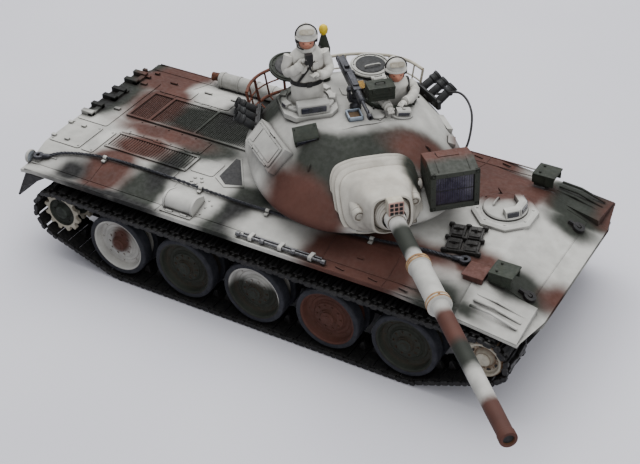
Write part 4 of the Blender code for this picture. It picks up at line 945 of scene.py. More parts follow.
def front_fittings():
    """Headlamps, spare links, the driver's plinth and hatch, and the fenders' brackets."""
    for side, x, y, z in (("right", 78.0, -28.0, 36.3), ("left", 69.0, 28.6, 37.2)):
        foot = [box((x + 0.6, x + 6.2), (y + 0.8, y + 6.6), (z - 0.2, z + 1.2)),
                prism(rounded((y + 0.2, y + 7.2), (z + 0.9, z + 4.7), 0.6, 3), (x, x + 5.6), "x"),
                box((x + 0.2, x + 8.4), (y - 0.1, y + 7.5), (z + 4.4, z + 5.0)),
                box((x + 4.8, x + 8.0), (y - 0.1, y + 0.5), (z + 1.0, z + 4.6)),
                box((x + 4.8, x + 8.0), (y + 6.9, y + 7.5), (z + 1.0, z + 4.6))]
        lamp = turned([(1.6, 5.2), (1.75, 6.8), (1.5, 7.0), (1.35, 6.2), (0.3, 6.0)], (x, y + 3.7, z + 2.8),
                      "x", 24)
        glass = turned([(1.45, 6.3), (1.0, 6.7), (0.2, 6.85)], (x, y + 3.7, z + 2.8), "x", 24)
        knobs = [moved(bolt(0.5, 0.6), at(x + 2.4, y + dy, z + 5.0)) for dy in (1.6, 5.8)]
        make(f"headlamp_{side}_shape", "hull", HULL,
             [("dark_green", foot + [lamp] + knobs), ("lens", [glass])], "hull_paint", [f"headlamp_{side}"],
             0.15)
    ridges = []
    for sign in (-1, 1):
        for y in (32.5, 35.5, 38.5):
            ridges.append(tube([(77, sign * y, 35.0), (84, sign * y, 34.4), (93, sign * y, 31.5)], 0.45, 8))
    make("nose_ridges", "hull", HULL, [("hull", ridges)], "hull_paint")
    # A small locker behind the right lamp.
    make("lamp_locker", "hull", HULL, [("brown", [
        prism(rounded((-29.4, -22.6), (35.2, 38.6), 0.8, 3), (70.2, 76.8), "x"),
        box((69.8, 77.2), (-29.8, -22.2), (38.2, 38.8))])], "hull_paint", bevel=0.2)
    shapes, horns = [], []
    for y in (-3.9, 3.9):
        for x in (-2.95, 2.95):
            shapes.append(prism(rounded((x - 2.5, x + 2.5), (y - 3.4, y + 3.4), 0.6, 2), (0.1, 1.2)))
            shapes.append(block((x, y + 1.7, 1.3), (3.6, 2.2, 0.7)))
            shapes.append(block((x, y - 1.7, 1.3), (3.6, 2.2, 0.7)))
            horns.append(block((x, y, 1.9), (1.0, 1.1, 1.7)))
    for x in (-5.6, 0, 5.6):
        for y in (-7.3, -0.1, 7.1):
            shapes.append(prism(rounded((x - 1.0, x + 1.0), (0.1, 1.7), 0.6, 2), (y - 0.5, y + 0.5), "y"))
    place = HULL @ at(62.8, -11.8, DECK + 0.2) @ spin(14, "Z")
    make("spare_links", "hull", place, [("worn_track", shapes), ("worn_track", horns)], "track_steel",
         ["spare_track"], 0.16)
    # The driver's eight-sided plinth with its own bolts.
    plinth = turned([(11.0, -0.3), (11.0, 1.1), (10.4, 1.55)], steps=8)
    ring = turned([(8.4, 1.2), (8.4, 1.62), (7.7, 1.72), (7.3, 1.4)], steps=48)
    rim = [moved(plinth, spin(22.5, "Z")), ring]
    rim += bolts(at(0, 0, 1.5), 8, 9.4, 0.4, 0.35, 22.5)
    make("driver_plinth", "hull", HULL @ at(67.8, 9.3, DECK + 0.03), [("hull", rim)], "hull_paint",
         bevel=0.12)
    lid_shapes = [turned([(0.2, 2.0), (7.4, 1.95), (7.5, 2.3), (7.2, 2.8), (6.4, 3.1), (3.0, 3.3),
                          (0.2, 3.35)], steps=48)]
    lid_shapes.append(prism([(-3.8, 6.2), (-6.6, 9.0), (-4.2, 9.6), (-1.6, 6.4)], (1.9, 2.9)))
    lid_shapes.append(bent([(-3.4, -2.4, 3.1), (-3.4, -1.8, 4.1), (-3.4, 1.8, 4.1), (-3.4, 2.4, 3.1)], 3,
                           0.3, 8))
    dark = []
    for angle in (-45, 0, 45):
        turn = spin(angle, "Z")
        hood = prism([(4.0, 2.2), (7.0, 2.2), (7.0, 2.6), (6.6, 5.0), (5.9, 5.4), (4.0, 5.2)], (-2.6, 2.6),
                     "y")
        lid_shapes.append(moved(hood, turn))
        dark.append(moved(box((5.6, 7.08), (-2.0, 2.0), (2.9, 4.6)), turn))
    make("driver_lid", "driver_hatch", HULL @ at(67.8, 9.3, DECK), [("hull", lid_shapes), ("glass", dark)],
         "hull_paint", ["driver_hatch"], 0.12)


# ---------------------------------------------------------------- turret fittings

SHELL = [
    (38.8, [(27, 0), (26.5, 9), (23.5, 16), (20, 22), (13, 27.5), (5, 31), (-5, 33), (-15, 33),
            (-22, 30), (-27, 24), (-29.5, 13), (-30.5, 0)]),
    (43.0, [(34, 0), (33.5, 9), (31.5, 17), (28, 23), (21.5, 29.5), (13, 34.5), (0, 37.6), (-13, 38),
            (-27, 36.5), (-39, 30), (-47, 16), (-49, 0)]),
    (47.5, [(30, 0), (29.5, 9), (28, 16.5), (24.5, 22.5), (18, 28.5), (10, 33), (-2, 36), (-14, 36.6),
            (-27, 35), (-38, 29), (-45.5, 16), (-47.5, 0)]),
    (53.5, [(22.5, 0), (22, 9), (20.5, 15.5), (17, 21), (11, 26), (4, 29.6), (-6, 32), (-17, 32),
            (-28, 30), (-37, 24.5), (-43, 14), (-45, 0)]),
    (59.0, [(13.5, 0), (13, 8), (11.5, 13.5), (8.5, 18), (3, 22), (-3, 24.6), (-11, 26.4), (-20, 26.4),
            (-28, 24.5), (-35, 19.5), (-39, 11), (-41, 0)]),
    (61.6, [(7, 0), (6.5, 7), (5, 12), (2, 15.8), (-2, 19), (-7, 21.2), (-13, 22.6), (-20, 22.6),
            (-27, 21), (-33, 16.8), (-36.5, 9.5), (-38, 0)]),
    (ROOF, [(2, 0), (1.5, 6), (0, 10), (-2, 13.5), (-5.5, 16.2), (-9.5, 18), (-14, 19), (-20, 19),
            (-26, 17.6), (-31, 14), (-34, 8), (-35, 0)]),
]


def casting():
    """The cast turret, rounded between its levels, with its hatch holes and the gun's slot."""
    rings = []
    for height, half in SHELL:
        outline = [(x, y * 0.965, height) for x, y in half]
        outline += [(x, -y, z) for x, y, z in reversed(outline[1:-1])]
        outline = outline[-2:] + outline + outline[:3]
        rings.append(smooth_path(outline, 5)[10:-10])
    columns = [smooth_path(column, 5) for column in zip(*rings)]
    levels = [list(row) for row in zip(*columns)]
    levels[-1] = [(x, y, ROOF) for x, y, z in levels[-1]]
    middle = Vector((-10, 0, ROOF))
    levels.append([middle.lerp(Vector(point), 0.5) for point in levels[-1]])
    shell = loft(levels)
    holes = [turned([(7.6, 50), (7.6, 70)], (*place, 0), steps=40) for place in (COMMANDER, LOADER)]
    holes += [box((13.3, 40), (-10.15, 10.15), (43.3, 57.15)), box((21.7, 40), (8, 16), (49.7, 54.3))]
    make("turret_casting", "turret", TURRET, [("turret", [shell]), ("turret", [
        turned([(22.5, 35.5), (26.0, 35.5), (26.0, 39.5), (22.5, 39.5)], steps=64, closed=True)])],
        "turret_paint", ["turret_shell"], smooth=40, cuts=holes)


def cupola():
    x, y = COMMANDER
    plate = [(x + 11.0, y - 6.5), (x + 11.0, y + 6.0), (x + 8, y + 8.8), (x - 4, y + 10.2),
             (x - 9.5, y + 3), (x - 9.5, y - 5), (x - 4, y - 10.2), (x + 7, y - 9.6)]
    deck = [prism(plate, (BASE - 0.6, BASE + 1.2)),
            turned([(8.9, BASE), (9.5, BASE + 0.9), (9.3, BASE + 2.0), (8.6, BASE + 2.4), (7.2, BASE + 2.1),
                    (7.0, 56), (8.4, 56)], (x, y, 0), steps=48, closed=True)]
    deck += bolts(at(x, y, BASE + 1.0), 10, 9.3, 0.42, 0.5, 12)
    deck += bolts(at(x, y, BASE + 2.2), 16, 8.5, 0.28, 0.3)
    hood = prism([(x + 5.4, BASE + 1), (x + 10.3, BASE + 1), (x + 9.7, BASE + 4.4), (x + 9.0, BASE + 4.9),
                  (x + 6.4, BASE + 5.0)], (y - 5.4, y + 5.4), "y")
    side_hoods = [moved(box((7.4, 9.6), (-1.5, 1.5), (BASE + 1.2, BASE + 3.0)), at(x, y, 0) @ spin(turn,
                                                                                                   "Z"))
                  for turn in (75, 120, -70, -115)]
    dark = [box((x + 9.2, x + 10.4), (y - 4.3, y + 4.3), (BASE + 1.9, BASE + 3.8))]
    dark += [moved(box((8.6, 9.68), (-1.1, 1.1), (BASE + 1.6, BASE + 2.7)), at(x, y, 0) @ spin(turn, "Z"))
             for turn in (75, 120, -70, -115)]
    make("cupola_shape", "turret", TURRET, [("turret", deck), ("turret", [hood] + side_hoods),
                                            ("glass", dark)],
         "turret_paint", ["commander_cupola"], 0.12)


def loader_opening():
    x, y = LOADER
    ring = [turned([(7.7, ROOF - 2), (9.1, ROOF - 2), (9.3, ROOF + 0.7), (8.9, ROOF + 1.3), (7.9,
                                                                                             ROOF + 1.3),
                    (7.7, ROOF + 0.9)], (x, y, 0), steps=48, closed=True)]
    ring += bolts(at(x, y, ROOF + 0.3), 12, 9.9, 0.35, 0.4, 10)
    make("loader_ring", "turret", TURRET, [("dark_green", ring)], "turret_paint")
    lean = at(-2.2, 14.8, 62.2) @ spin(9, "Y") @ spin(-9, "X")
    seat = moved(turned([(3.0, -1.2), (3.0, 0.5), (2.7, 0.8)], steps=32), stretch(0.75, 1.25, 1))
    body = [seat, prism([(-1.5, 0.5), (1.4, 0.5), (1.3, 2.5), (0.9, 2.9), (-1.2, 2.9)], (-2.5, 2.5), "y"),
            turned([(0.5, 2.6), (0.5, 3.2), (0.3, 3.4)], steps=12)]
    make("loader_periscope_shape", "turret", TURRET @ lean,
         [("turret", body), ("glass", [box((0.9, 1.5), (-2.0, 2.0), (1.1, 2.3))])], "turret_paint",
         ["loader_periscope"], 0.12)


def hatch_lids():
    radius = LID_RADIUS
    for name, opened, back, paint, pad_paint in (("commander", 165, 8.9, "dark_green", "black"),
                                                 ("loader", 175, 9.6, "white", "dark_steel")):
        place = lid_place(f"{name}_hatch_hinge") @ spin(-opened, "Y")
        plate = [turned([(0.2, 0.2), (radius - 0.6, 0.2), (radius, 0.4), (radius, 1.0), (radius - 0.5, 1.3),
                         (radius - 1.2, 1.4), (radius - 1.6, 1.75), (3.0, 1.9), (0.2, 1.9)], (back, 0, 0),
                         steps=48)]
        pad = [turned([(0.2, -0.35), (4.6, -0.3), (5.3, 0.0), (5.4, 0.3)], (back, 0, 0), steps=40)]
        plate += [turned([(radius - 1.1, -0.15), (radius - 0.6, -0.15), (radius - 0.6, 0.3), (radius - 1.1,
                                                                                              0.3)],
                         (back, 0, 0), steps=48, closed=True)]
        plate.append(bent([(back - 2, 2.6, -0.1), (back - 2, 2.4, -1.0), (back - 2, -2.4, -1.0),
                                       (back - 2, -2.6, -0.1)], 3, 0.28, 8))
        plate += bolts(at(back, 0, 0.2) @ spin(180, "X"), 10, 6.0, 0.25, 0.3)
        reach = back - 7.6 + 1.6
        plate += [box((-0.4, reach), (-2.6, -1.4), (0.2, 1.0)), box((-0.4, reach), (1.4, 2.6), (0.2, 1.0)),
                  tube([(0, -2.6, 0), (0, 2.6, 0)], 0.75, 14), tube([(0, -2.9, 0), (0, 2.9, 0)], 0.3, 10)]
        make(f"{name}_lid", f"{name}_hatch", place, [(paint, plate), (pad_paint, pad)], "turret_paint",
             [f"{name}_hatch"], 0.08)


def roof_gear():
    tilt = at(-2.6, -18.6, 61.0) @ spin(-8, "Z") @ spin(10, "X") @ spin(16, "Y")
    hood = [prism([(0, -0.6), (5.6, -1.4), (5.6, 2.0), (5.0, 2.4), (0.8, 3.4), (0, 3.4)], (-4.2, 4.2), "y")]
    hood += [moved(bolt(0.3, 0.4), at(1.2, y, 3.2)) for y in (-3.4, 3.4)]
    make("sight_hood_shape", "turret", TURRET @ tilt, [
        ("dark_green", hood), ("glass", [box((5.3, 5.72), (-3.4, 3.4), (0.3, 1.7))])], "turret_paint",
        ["sight_hood"], 0.15)
    profile = [(2.2, 0), (2.1, 1.2), (1.7, 1.6), (1.9, 3.2), (2.6, 6), (2.5, 9), (2.2, 9.2), (2.3, 12),
               (1.3, 15.8),
               (0.8, 17.4)]
    cap = [(0.8, 17.4), (1.4, 18.1), (1.65, 19.4), (1.4, 20.4), (0.8, 20.95), (0.1, 21.0)]
    make("sensor_mast_shape", "turret", TURRET @ at(-33.0, -5.0, BASE + 0.05), [
        ("dark_green", [turned(profile, steps=28)]), ("yellow", [turned(cap, steps=28)])],
        "turret_paint", ["sensor_mast"], 0.08)
    tray = [box((-8.4, -2.6), (-3.5, 1.5), (ROOF - 0.1, ROOF + 0.4)), box((-8.4, -7.9), (-3.5, 1.5),
                                                                          (ROOF, ROOF + 1.5)),
            box((-3.1, -2.6), (-3.5, 1.5), (ROOF, ROOF + 1.5)), box((-8.4, -2.6), (-3.5, -3.0),
                                                                    (ROOF, ROOF + 1.5)),
            box((-8.4, -2.6), (1.0, 1.5), (ROOF, ROOF + 1.5))]
    make("gun_rest_tray", "turret", TURRET, [
        ("tray", tray), ("tan", [box((-7.8, -3.2), (-2.9, 0.9), (ROOF + 0.3, ROOF + 0.6))])],
        "turret_paint", bevel=0.1)
    # Cast seams, bolts and lifting eyes on the shell.
    bits = [bent([(1.5, -7, 62.2), (0.5, -1, 62.55), (0.5, 5, 62.5), (-1.5, 12, 62.1)], 4, 0.18, 6),
            prism(rounded((-26, -20), (-1.5, 4.5), 1, 3), (ROOF - 0.3, ROOF + 0.35)),
            turned([(2.4, ROOF - 0.3), (2.4, ROOF + 0.7), (1.9, ROOF + 1.2), (0.2, ROOF + 1.5)],
                   (-3.8, 6.8, 0), steps=28)]
    bits += bolts(at(-3.8, 6.8, ROOF + 0.1), 6, 2.9, 0.3, 0.4)
    for x, y, z, turn in ((11, 20.0, 55.6, 35), (11.5, -20.5, 55.2, -35), (-33, 21.5, 58.7, 130)):
        place = at(x, y, z) @ spin(turn, "Z")
        bits.append(moved(bent([(-1.2, 0, -1.5), (-1.1, 0, 0.9), (0, 0, 1.6), (1.1, 0, 0.9),
                                (1.2, 0, -1.5)], 4, 0.38, 8), place))
    bits.append(moved(box((-5, 5), (-1, 1.4), (-2.4, 1.2)), at(-10, 32.3,
                                                               51.3) @ spin(3, "Z") @ spin(-16, "X")))
    bits.append(moved(box((-2.5, 2.5), (-1, 1.8), (-1.4, 1.4)),
                      at(2, 30.6, 51.6) @ spin(-18, "Z") @ spin(-20, "X")))
    make("roof_castings", "turret", TURRET, [("turret", bits)], "turret_paint", bevel=0.12)


def stowage():
    lean = at(-5.8, -32.0, 56.1) @ spin(10, "Z") @ spin(48, "X")
    base = [box((-10.8, 10.8), (-5, 4.6), (-4.2, 0))]
    lid_top = [prism(rounded((-9.7, 9.7), (-4.0, 4.0), 0.7, 3), (-0.3, 0.55)),
               prism(rounded((-4.6, 8.6), (-2.8, 3.2), 0.4, 2), (0.4, 0.8)),
               prism(rounded((-8.8, -5.6), (-2.8, 3.2), 0.4, 2), (0.4, 0.8))]
    lid_top += [tube([(x - 1.6, -4.4, 0.05), (x + 1.6, -4.4, 0.05)], 0.4, 10) for x in (-6, 6)]
    lid_top += [bent([(-1, 4.2, 0.1), (-1, 4.6, 0.7), (2, 4.6, 0.7), (2, 4.2, 0.1)], 3, 0.22, 8)]
    lid_top += [moved(bolt(0.3, 0.35), at(x, y, 0.4)) for x in (-9, -5, 0, 5, 9) for y in (-3.5, 3.5)]
    make("stowage_box_shape", "turret", TURRET @ lean, [("turret", base + lid_top)], "turret_paint",
         ["stowage_box"], 0.2)


def rack():
    def rail(height, out):
        half = [(-37, 31 + out), (-44, 28 + out), (-50, 22 + out), (-53 - out, 12), (-53.5 - out, 0)]
        left = [(x, y, height) for x, y in half]
        return smooth_path(left + [(x, -y, height) for x, y in reversed(half[:-1])], 6)
    rails = [rail(48.5, 0.0), rail(58.5, 1.5), rail(53.5, 0.9)]
    bars = [[], []]
    for index, line in enumerate(rails):
        middle = len(line) // 2
        radius = 0.3 if index == 2 else 0.6
        bars[0].append(tube(line[:middle + 1], radius, 12))
        bars[1].append(tube(line[middle:], radius, 12))
    count = len(rails[0])
    for i in range(0, count, 4):
        thick = 0.5 if i % 8 == 0 else 0.34
        bars[0 if i <= count // 2 else 1].append(tube([rails[0][i], rails[1][i]], thick, 8))
    for i in range(4, count - 4, 4):
        spot = rails[0][i]
        bars[0 if i <= count // 2 else 1].append(tube([spot, (spot.x + 4.8, spot.y * 0.93, 47.4)], 0.3, 6))
    for end, half in ((rails[0][0], 0), (rails[0][-1], 1)):
        bars[half].append(tube([end, (end.x + 0.9, end.y - math.copysign(2.8, end.y), end.z)], 0.5, 8))
    make("rack_bars", "turret", TURRET, [("cream", bars[0]), ("rust_paint", bars[1])], "turret_paint",
         ["bustle_rack"], smooth=60)


def smoke_tubes():
    for side, sign in SIDES:
        flip = stretch(1, sign, 1)
        shapes = [box((-8, 8), (-1, 0.4), (-1.6, 1.6)), box((-7, 7), (-1.4, -0.8), (-0.6, 2.6))]
        for i, x in enumerate((-5.6, 0, 5.6)):
            aim = at(x, 0, 0) @ spin(-62 + 4 * i, "X")
            shapes.append(moved(turned([(0.3, -1.5), (1.3, -1.5), (1.5, -1.2), (1.5, 5), (1.9, 5.4),
                                        (1.9, 6.1), (1.7, 6.3),
                                        (1.7, 7.3), (1.9, 7.5), (1.9, 8.4), (1.6, 8.4), (1.6, 6.2),
                                        (0.2, 6.2)], steps=28), aim))
            shapes += bolts(aim @ at(0, 0, 0.6), 3, 1.5, 0.3, 0.5)
        place = at(-25, 31.2, 54.5) @ spin(14, "Z")
        shapes = [moved(shape, flip @ place) for shape in shapes]
        make(f"smoke_launcher_{side}", "turret", TURRET, [("dark_steel", shapes)], "gunmetal",
             [f"smoke_tubes_{side}"], 0.12)
    lead = smooth_path([(-23, 33.5, 56), (-15, 39.5, 60), (-5, 40.5, 58), (2, 37.5, 51), (4, 33.6, 46.0),
                        (3.5, 31.5, 44.4)], 8)
    make("launcher_lead", "turret", TURRET, [("black", [tube(lead, 0.42, 10)])], "black_plastic", smooth=60)


# ---------------------------------------------------------------- crew

def helmet(x, y, z, turn):
    """A helmeted head with raised goggles, headset and a plain face, looking along X."""
    place = at(x, y, z) @ spin(turn, "Z")
    dome = ball((-0.2, 0, 1.0), (3.7, 3.5, 3.6), 28, 16)
    brim = turned([(3.4, 0.1), (3.9, 0.0), (3.85, 0.6), (3.5, 0.9)], (-0.2, 0, 0), steps=28, closed=True)
    face = ball((0.5, 0, -1.3), (3.0, 2.6, 3.2), 24, 16)
    for vertex in face.verts:
        if vertex.co.x > 0:
            nose = math.exp(-((vertex.co.y / 0.55) ** 2 + ((vertex.co.z + 1.5) / 0.8) ** 2))
            brow = math.exp(-(((vertex.co.z + 0.5) / 0.45) ** 2))
            mouth = math.exp(-((vertex.co.y / 0.9) ** 2 + ((vertex.co.z + 3.0) / 0.25) ** 2))
            vertex.co.x += 0.6 * nose + 0.15 * brow - 0.12 * mouth
    nose = ball((3.45, 0, -1.6), (0.5, 0.42, 0.75), 12, 8)
    tilt = at(0.1, 0, 1.0) @ spin(-28, "Y")
    goggles = [moved(prism(rounded((-2.5, 2.5), (-0.3, 1.5), 0.7, 4), (2.9, 4.0), "x"), tilt)]
    lens = [moved(prism(rounded((side * 1.2 - 0.9, side * 1.2 + 0.9), (0.0, 1.2), 0.5, 4), (3.8, 4.12),
                        "x"), tilt)
            for side in (-1, 1)]
    strap = tube([(3.72 * math.sin(a), 0, 3.6 * math.cos(a) + 1.0) for a in [-1.4 + 0.2 * i
                                                                             for i in range(8)]], 0.22, 6)
    band = tube([(0.1, 3.62 * math.sin(a), 3.68 * math.cos(a) + 1.0)
                 for a in [-1.9 + 0.2 * i for i in range(20)]], 0.26, 6)
    eyes = [ball((3.05, side * 1.0, -0.9), (0.4, 0.5, 0.22), 10, 6) for side in (-1, 1)]
    phones = [turned([(1.3, 0), (1.3, 0.7), (0.9, 1.0), (0.2, 1.05)], (0.1, 0, 0), "y", 18)
              for side in (-1, 1)]
    phones = [moved(cup, at(0, side * 2.75, -0.7) @ stretch(1, side, 1)) for cup, side in zip(phones,
                                                                                              (-1, 1))]
    boom = bent([(0.4, -3.3, -1.4), (2.2, -3.0, -2.6), (3.5, -1.2, -2.9)], 4, 0.22, 6)
    chin = bent([(0.4, -2.7, 0), (1.0, -2.5, -2.4), (1.6, 0, -4.3), (1.0, 2.5, -2.4), (0.4, 2.7, 0)], 4,
                0.22, 6)
    return ([moved(s, place) for s in (dome, brim)], [moved(s, place) for s in (face, nose)],
            [moved(s, place) for s in [*phones, band, boom, chin, *eyes]],
            [moved(s, place) for s in [*goggles, strap, *lens]])


def sleeve(path, radii, seed):
    points = smooth_path(path, 6)
    count = len(points) - 1
    spread = [radii[0] + (radii[1] - radii[0]) * i / count + 0.14 * math.sin(i * 1.7 + seed)
              for i in range(count + 1)]
    return wrinkled(tube(points, spread, 18), 0.22, 0.55, seed)


def mitten(x, y, z, turn, tilt=0.0):
    place = at(x, y, z) @ spin(turn, "Z") @ spin(tilt, "Y")
    palm = ball((0.6, 0, 0), (1.5, 1.15, 0.8), 16, 10)
    fingers = [tube([(1.2, f, 0.1), (2.2, f, -0.15), (2.7, f, -0.6)], 0.33, 8) for f in (-0.75, -0.25, 0.25,
                                                                                         0.75)]
    thumb = tube([(0.4, 0.9, 0), (1.3, 1.4, 0.1)], 0.36, 8)
    cuff = turned([(1.45, -1.3), (1.55, -0.9), (1.55, 0.2), (1.35, 0.5)], (-0.6, 0, 0), "x", 18)
    return [moved(s, place) for s in (palm, *fingers, thumb)], [moved(cuff, place)]


def torso(x, y, levels, seed):
    rings = []
    knots = [Vector(level) for level in levels]
    for a, b in zip(knots, knots[1:]):
        for step in range(4):
            z, lean, rx, ry = a.lerp(b, step / 4)
            rings.append([(x + lean + rx * math.cos(math.tau * k / 32),
                           y + ry * math.sin(math.tau * k / 32), z)
                          for k in range(32)])
    z, lean, rx, ry = knots[-1]
    rings.append([(x + lean + rx * math.cos(math.tau * k / 32), y + ry * math.sin(math.tau * k / 32), z)
                  for k in range(32)])
    return wrinkled(loft(rings), 0.32, 0.34, seed, (1, 1, 0.6))


def crew():
    x, y = COMMANDER
    cloth = [torso(x, y, ((54, 0.2, 3.6, 4.8), (64, 0.2, 4.2, 5.6), (69, 0.2, 4.3, 5.6),
                          (71.4, 0.2, 3.9, 5.2),
                          (73.0, 0.2, 4.0, 5.5), (78, 0.2, 4.2, 6.0), (81.6, 0.2, 3.9, 6.0), (83.6, 0.3,
                                                                                              2.9, 4.2),
                          (84.8, 0.4, 2.5, 3.0)), 3.1),
             sleeve([(x, y - 5.6, 81.8), (x + 1.4, y - 7.0, 76.9), (x + 4.6, y - 5.0, 78.4),
                     (x + 5.4, y - 2.6, 81.2)],
                    (2.1, 1.55), 1.0),
             sleeve([(x, y + 5.6, 81.8), (x + 1.2, y + 7.2, 76.6), (x + 4.4, y + 5.4, 75.4),
                     (x + 5.8, y + 2.6, 76.4)],
                    (2.1, 1.55), 2.0)]
    collar = turned([(2.6, 83.4), (3.3, 83.6), (3.4, 84.8), (2.9, 85.4), (2.3, 85.2)], (x + 0.2, y, 0),
                    steps=28, closed=True)
    cloth.append(wrinkled(collar, 0.25, 0.7, 8.0))
    cloth.append(prism(rounded((y - 2.9, y - 0.9), (76.8, 79.6), 0.3, 2), (x + 3.6, x + 4.7), "x"))
    cloth.append(prism(rounded((y + 1.2, y + 3.2), (77.6, 80.2), 0.3, 2), (x + 3.4, x + 4.5), "x"))
    belt = turned([(1.0, 71.3), (1.0, 72.8), (0.98, 72.8), (0.98, 71.3)], steps=40, closed=True)
    belt = moved(belt, at(x + 0.2, y, 0) @ stretch(4.35, 5.7, 1))
    black = [belt, bent([(x - 1, y + 5.0, 83.2), (x + 3.6, y + 2.0, 80.8), (x + 4.5, y - 1.6, 76.6),
                                     (x + 3.9, y - 4.4, 72.6)], 5, 0.4, 8),
             block((x + 4.6, y - 0.2, 72.1), (0.8, 1.8, 1.6)), block((x + 6.6, y - 0.6, 83.2),
                                                                     (1.8, 2.6, 3.6)),
             bent([(x + 6.6, y - 0.6, 81.5), (x + 6.4, y + 0.2, 78.6), (x + 5.2, y + 1.6, 77.0),
                               (x + 4.4, y + 3.6, 74.2)], 5, 0.3, 8)]
    gloves, cuffs = [], []
    for spot in ((x + 5.2, y - 2.2, 81.6, 40, -50), (x + 5.9, y + 2.4, 76.5, -60, -20)):
        palm, cuff = mitten(*spot)
        gloves += palm
        cuffs += cuff
    shell, face, straps, lens = helmet(x + 0.6, y, 88.3, -8)
    make("commander_shape", "turret", TURRET, [
        ("cloth", cloth + cuffs), ("cloth", shell), ("skin", face), ("black", black + straps), ("cloth",
                                                                                                gloves),
        ("cream", lens)], "figure_paint", ["commander_figure"], smooth=70)
    x, y = LOADER[0] + 0.6, LOADER[1] + 1.0
    cloth = [torso(x, y, ((52, -0.5, 3.6, 4.6), (61, -0.4, 3.8, 4.8), (66, 1.0, 4.0, 5.6),
                          (69.0, 1.6, 3.8, 5.4),
                          (70.6, 1.8, 2.9, 4.0), (71.4, 2.0, 2.4, 2.8)), 5.2),
             sleeve([(x + 1.6, y + 4.8, 68.6), (x + 4.2, y + 6.2, 66.8), (x + 7.8, y + 4.2, 66.0),
                     (x + 9.4, y + 1.6, 65.9)],
                    (2.0, 1.5), 3.0),
             sleeve([(x + 1.6, y - 4.8, 68.4), (x + 5.0, y - 5.8, 67.0), (x + 9.8, y - 5.3, 66.1),
                     (x + 12.2, y - 4.9, 65.8)],
                    (2.0, 1.5), 4.0)]
    gloves, cuffs = [], []
    for spot in ((x + 9.6, y + 1.2, 65.8, -50, 0), (x + 12.2, y - 4.9, 65.7, 4, 0)):
        palm, cuff = mitten(*spot)
        gloves += palm
        cuffs += cuff
    strap = bent([(x - 1.4, y + 4.4, 69.0), (x + 2.0, y + 4.6, 70.3), (x + 5.0, y + 4.0, 67.4)], 5, 0.4, 8)
    shell, face, straps, lens = helmet(x + 2.7, y, 74.9, -6)
    make("loader_shape", "turret", TURRET, [
        ("cloth", cloth + cuffs), ("cloth", shell), ("skin", face), ("black", straps + [strap]), ("cloth",
                                                                                                  gloves),
        ("cream", lens)], "figure_paint", ["loader_figure"], smooth=70)


# ---------------------------------------------------------------- machine gun

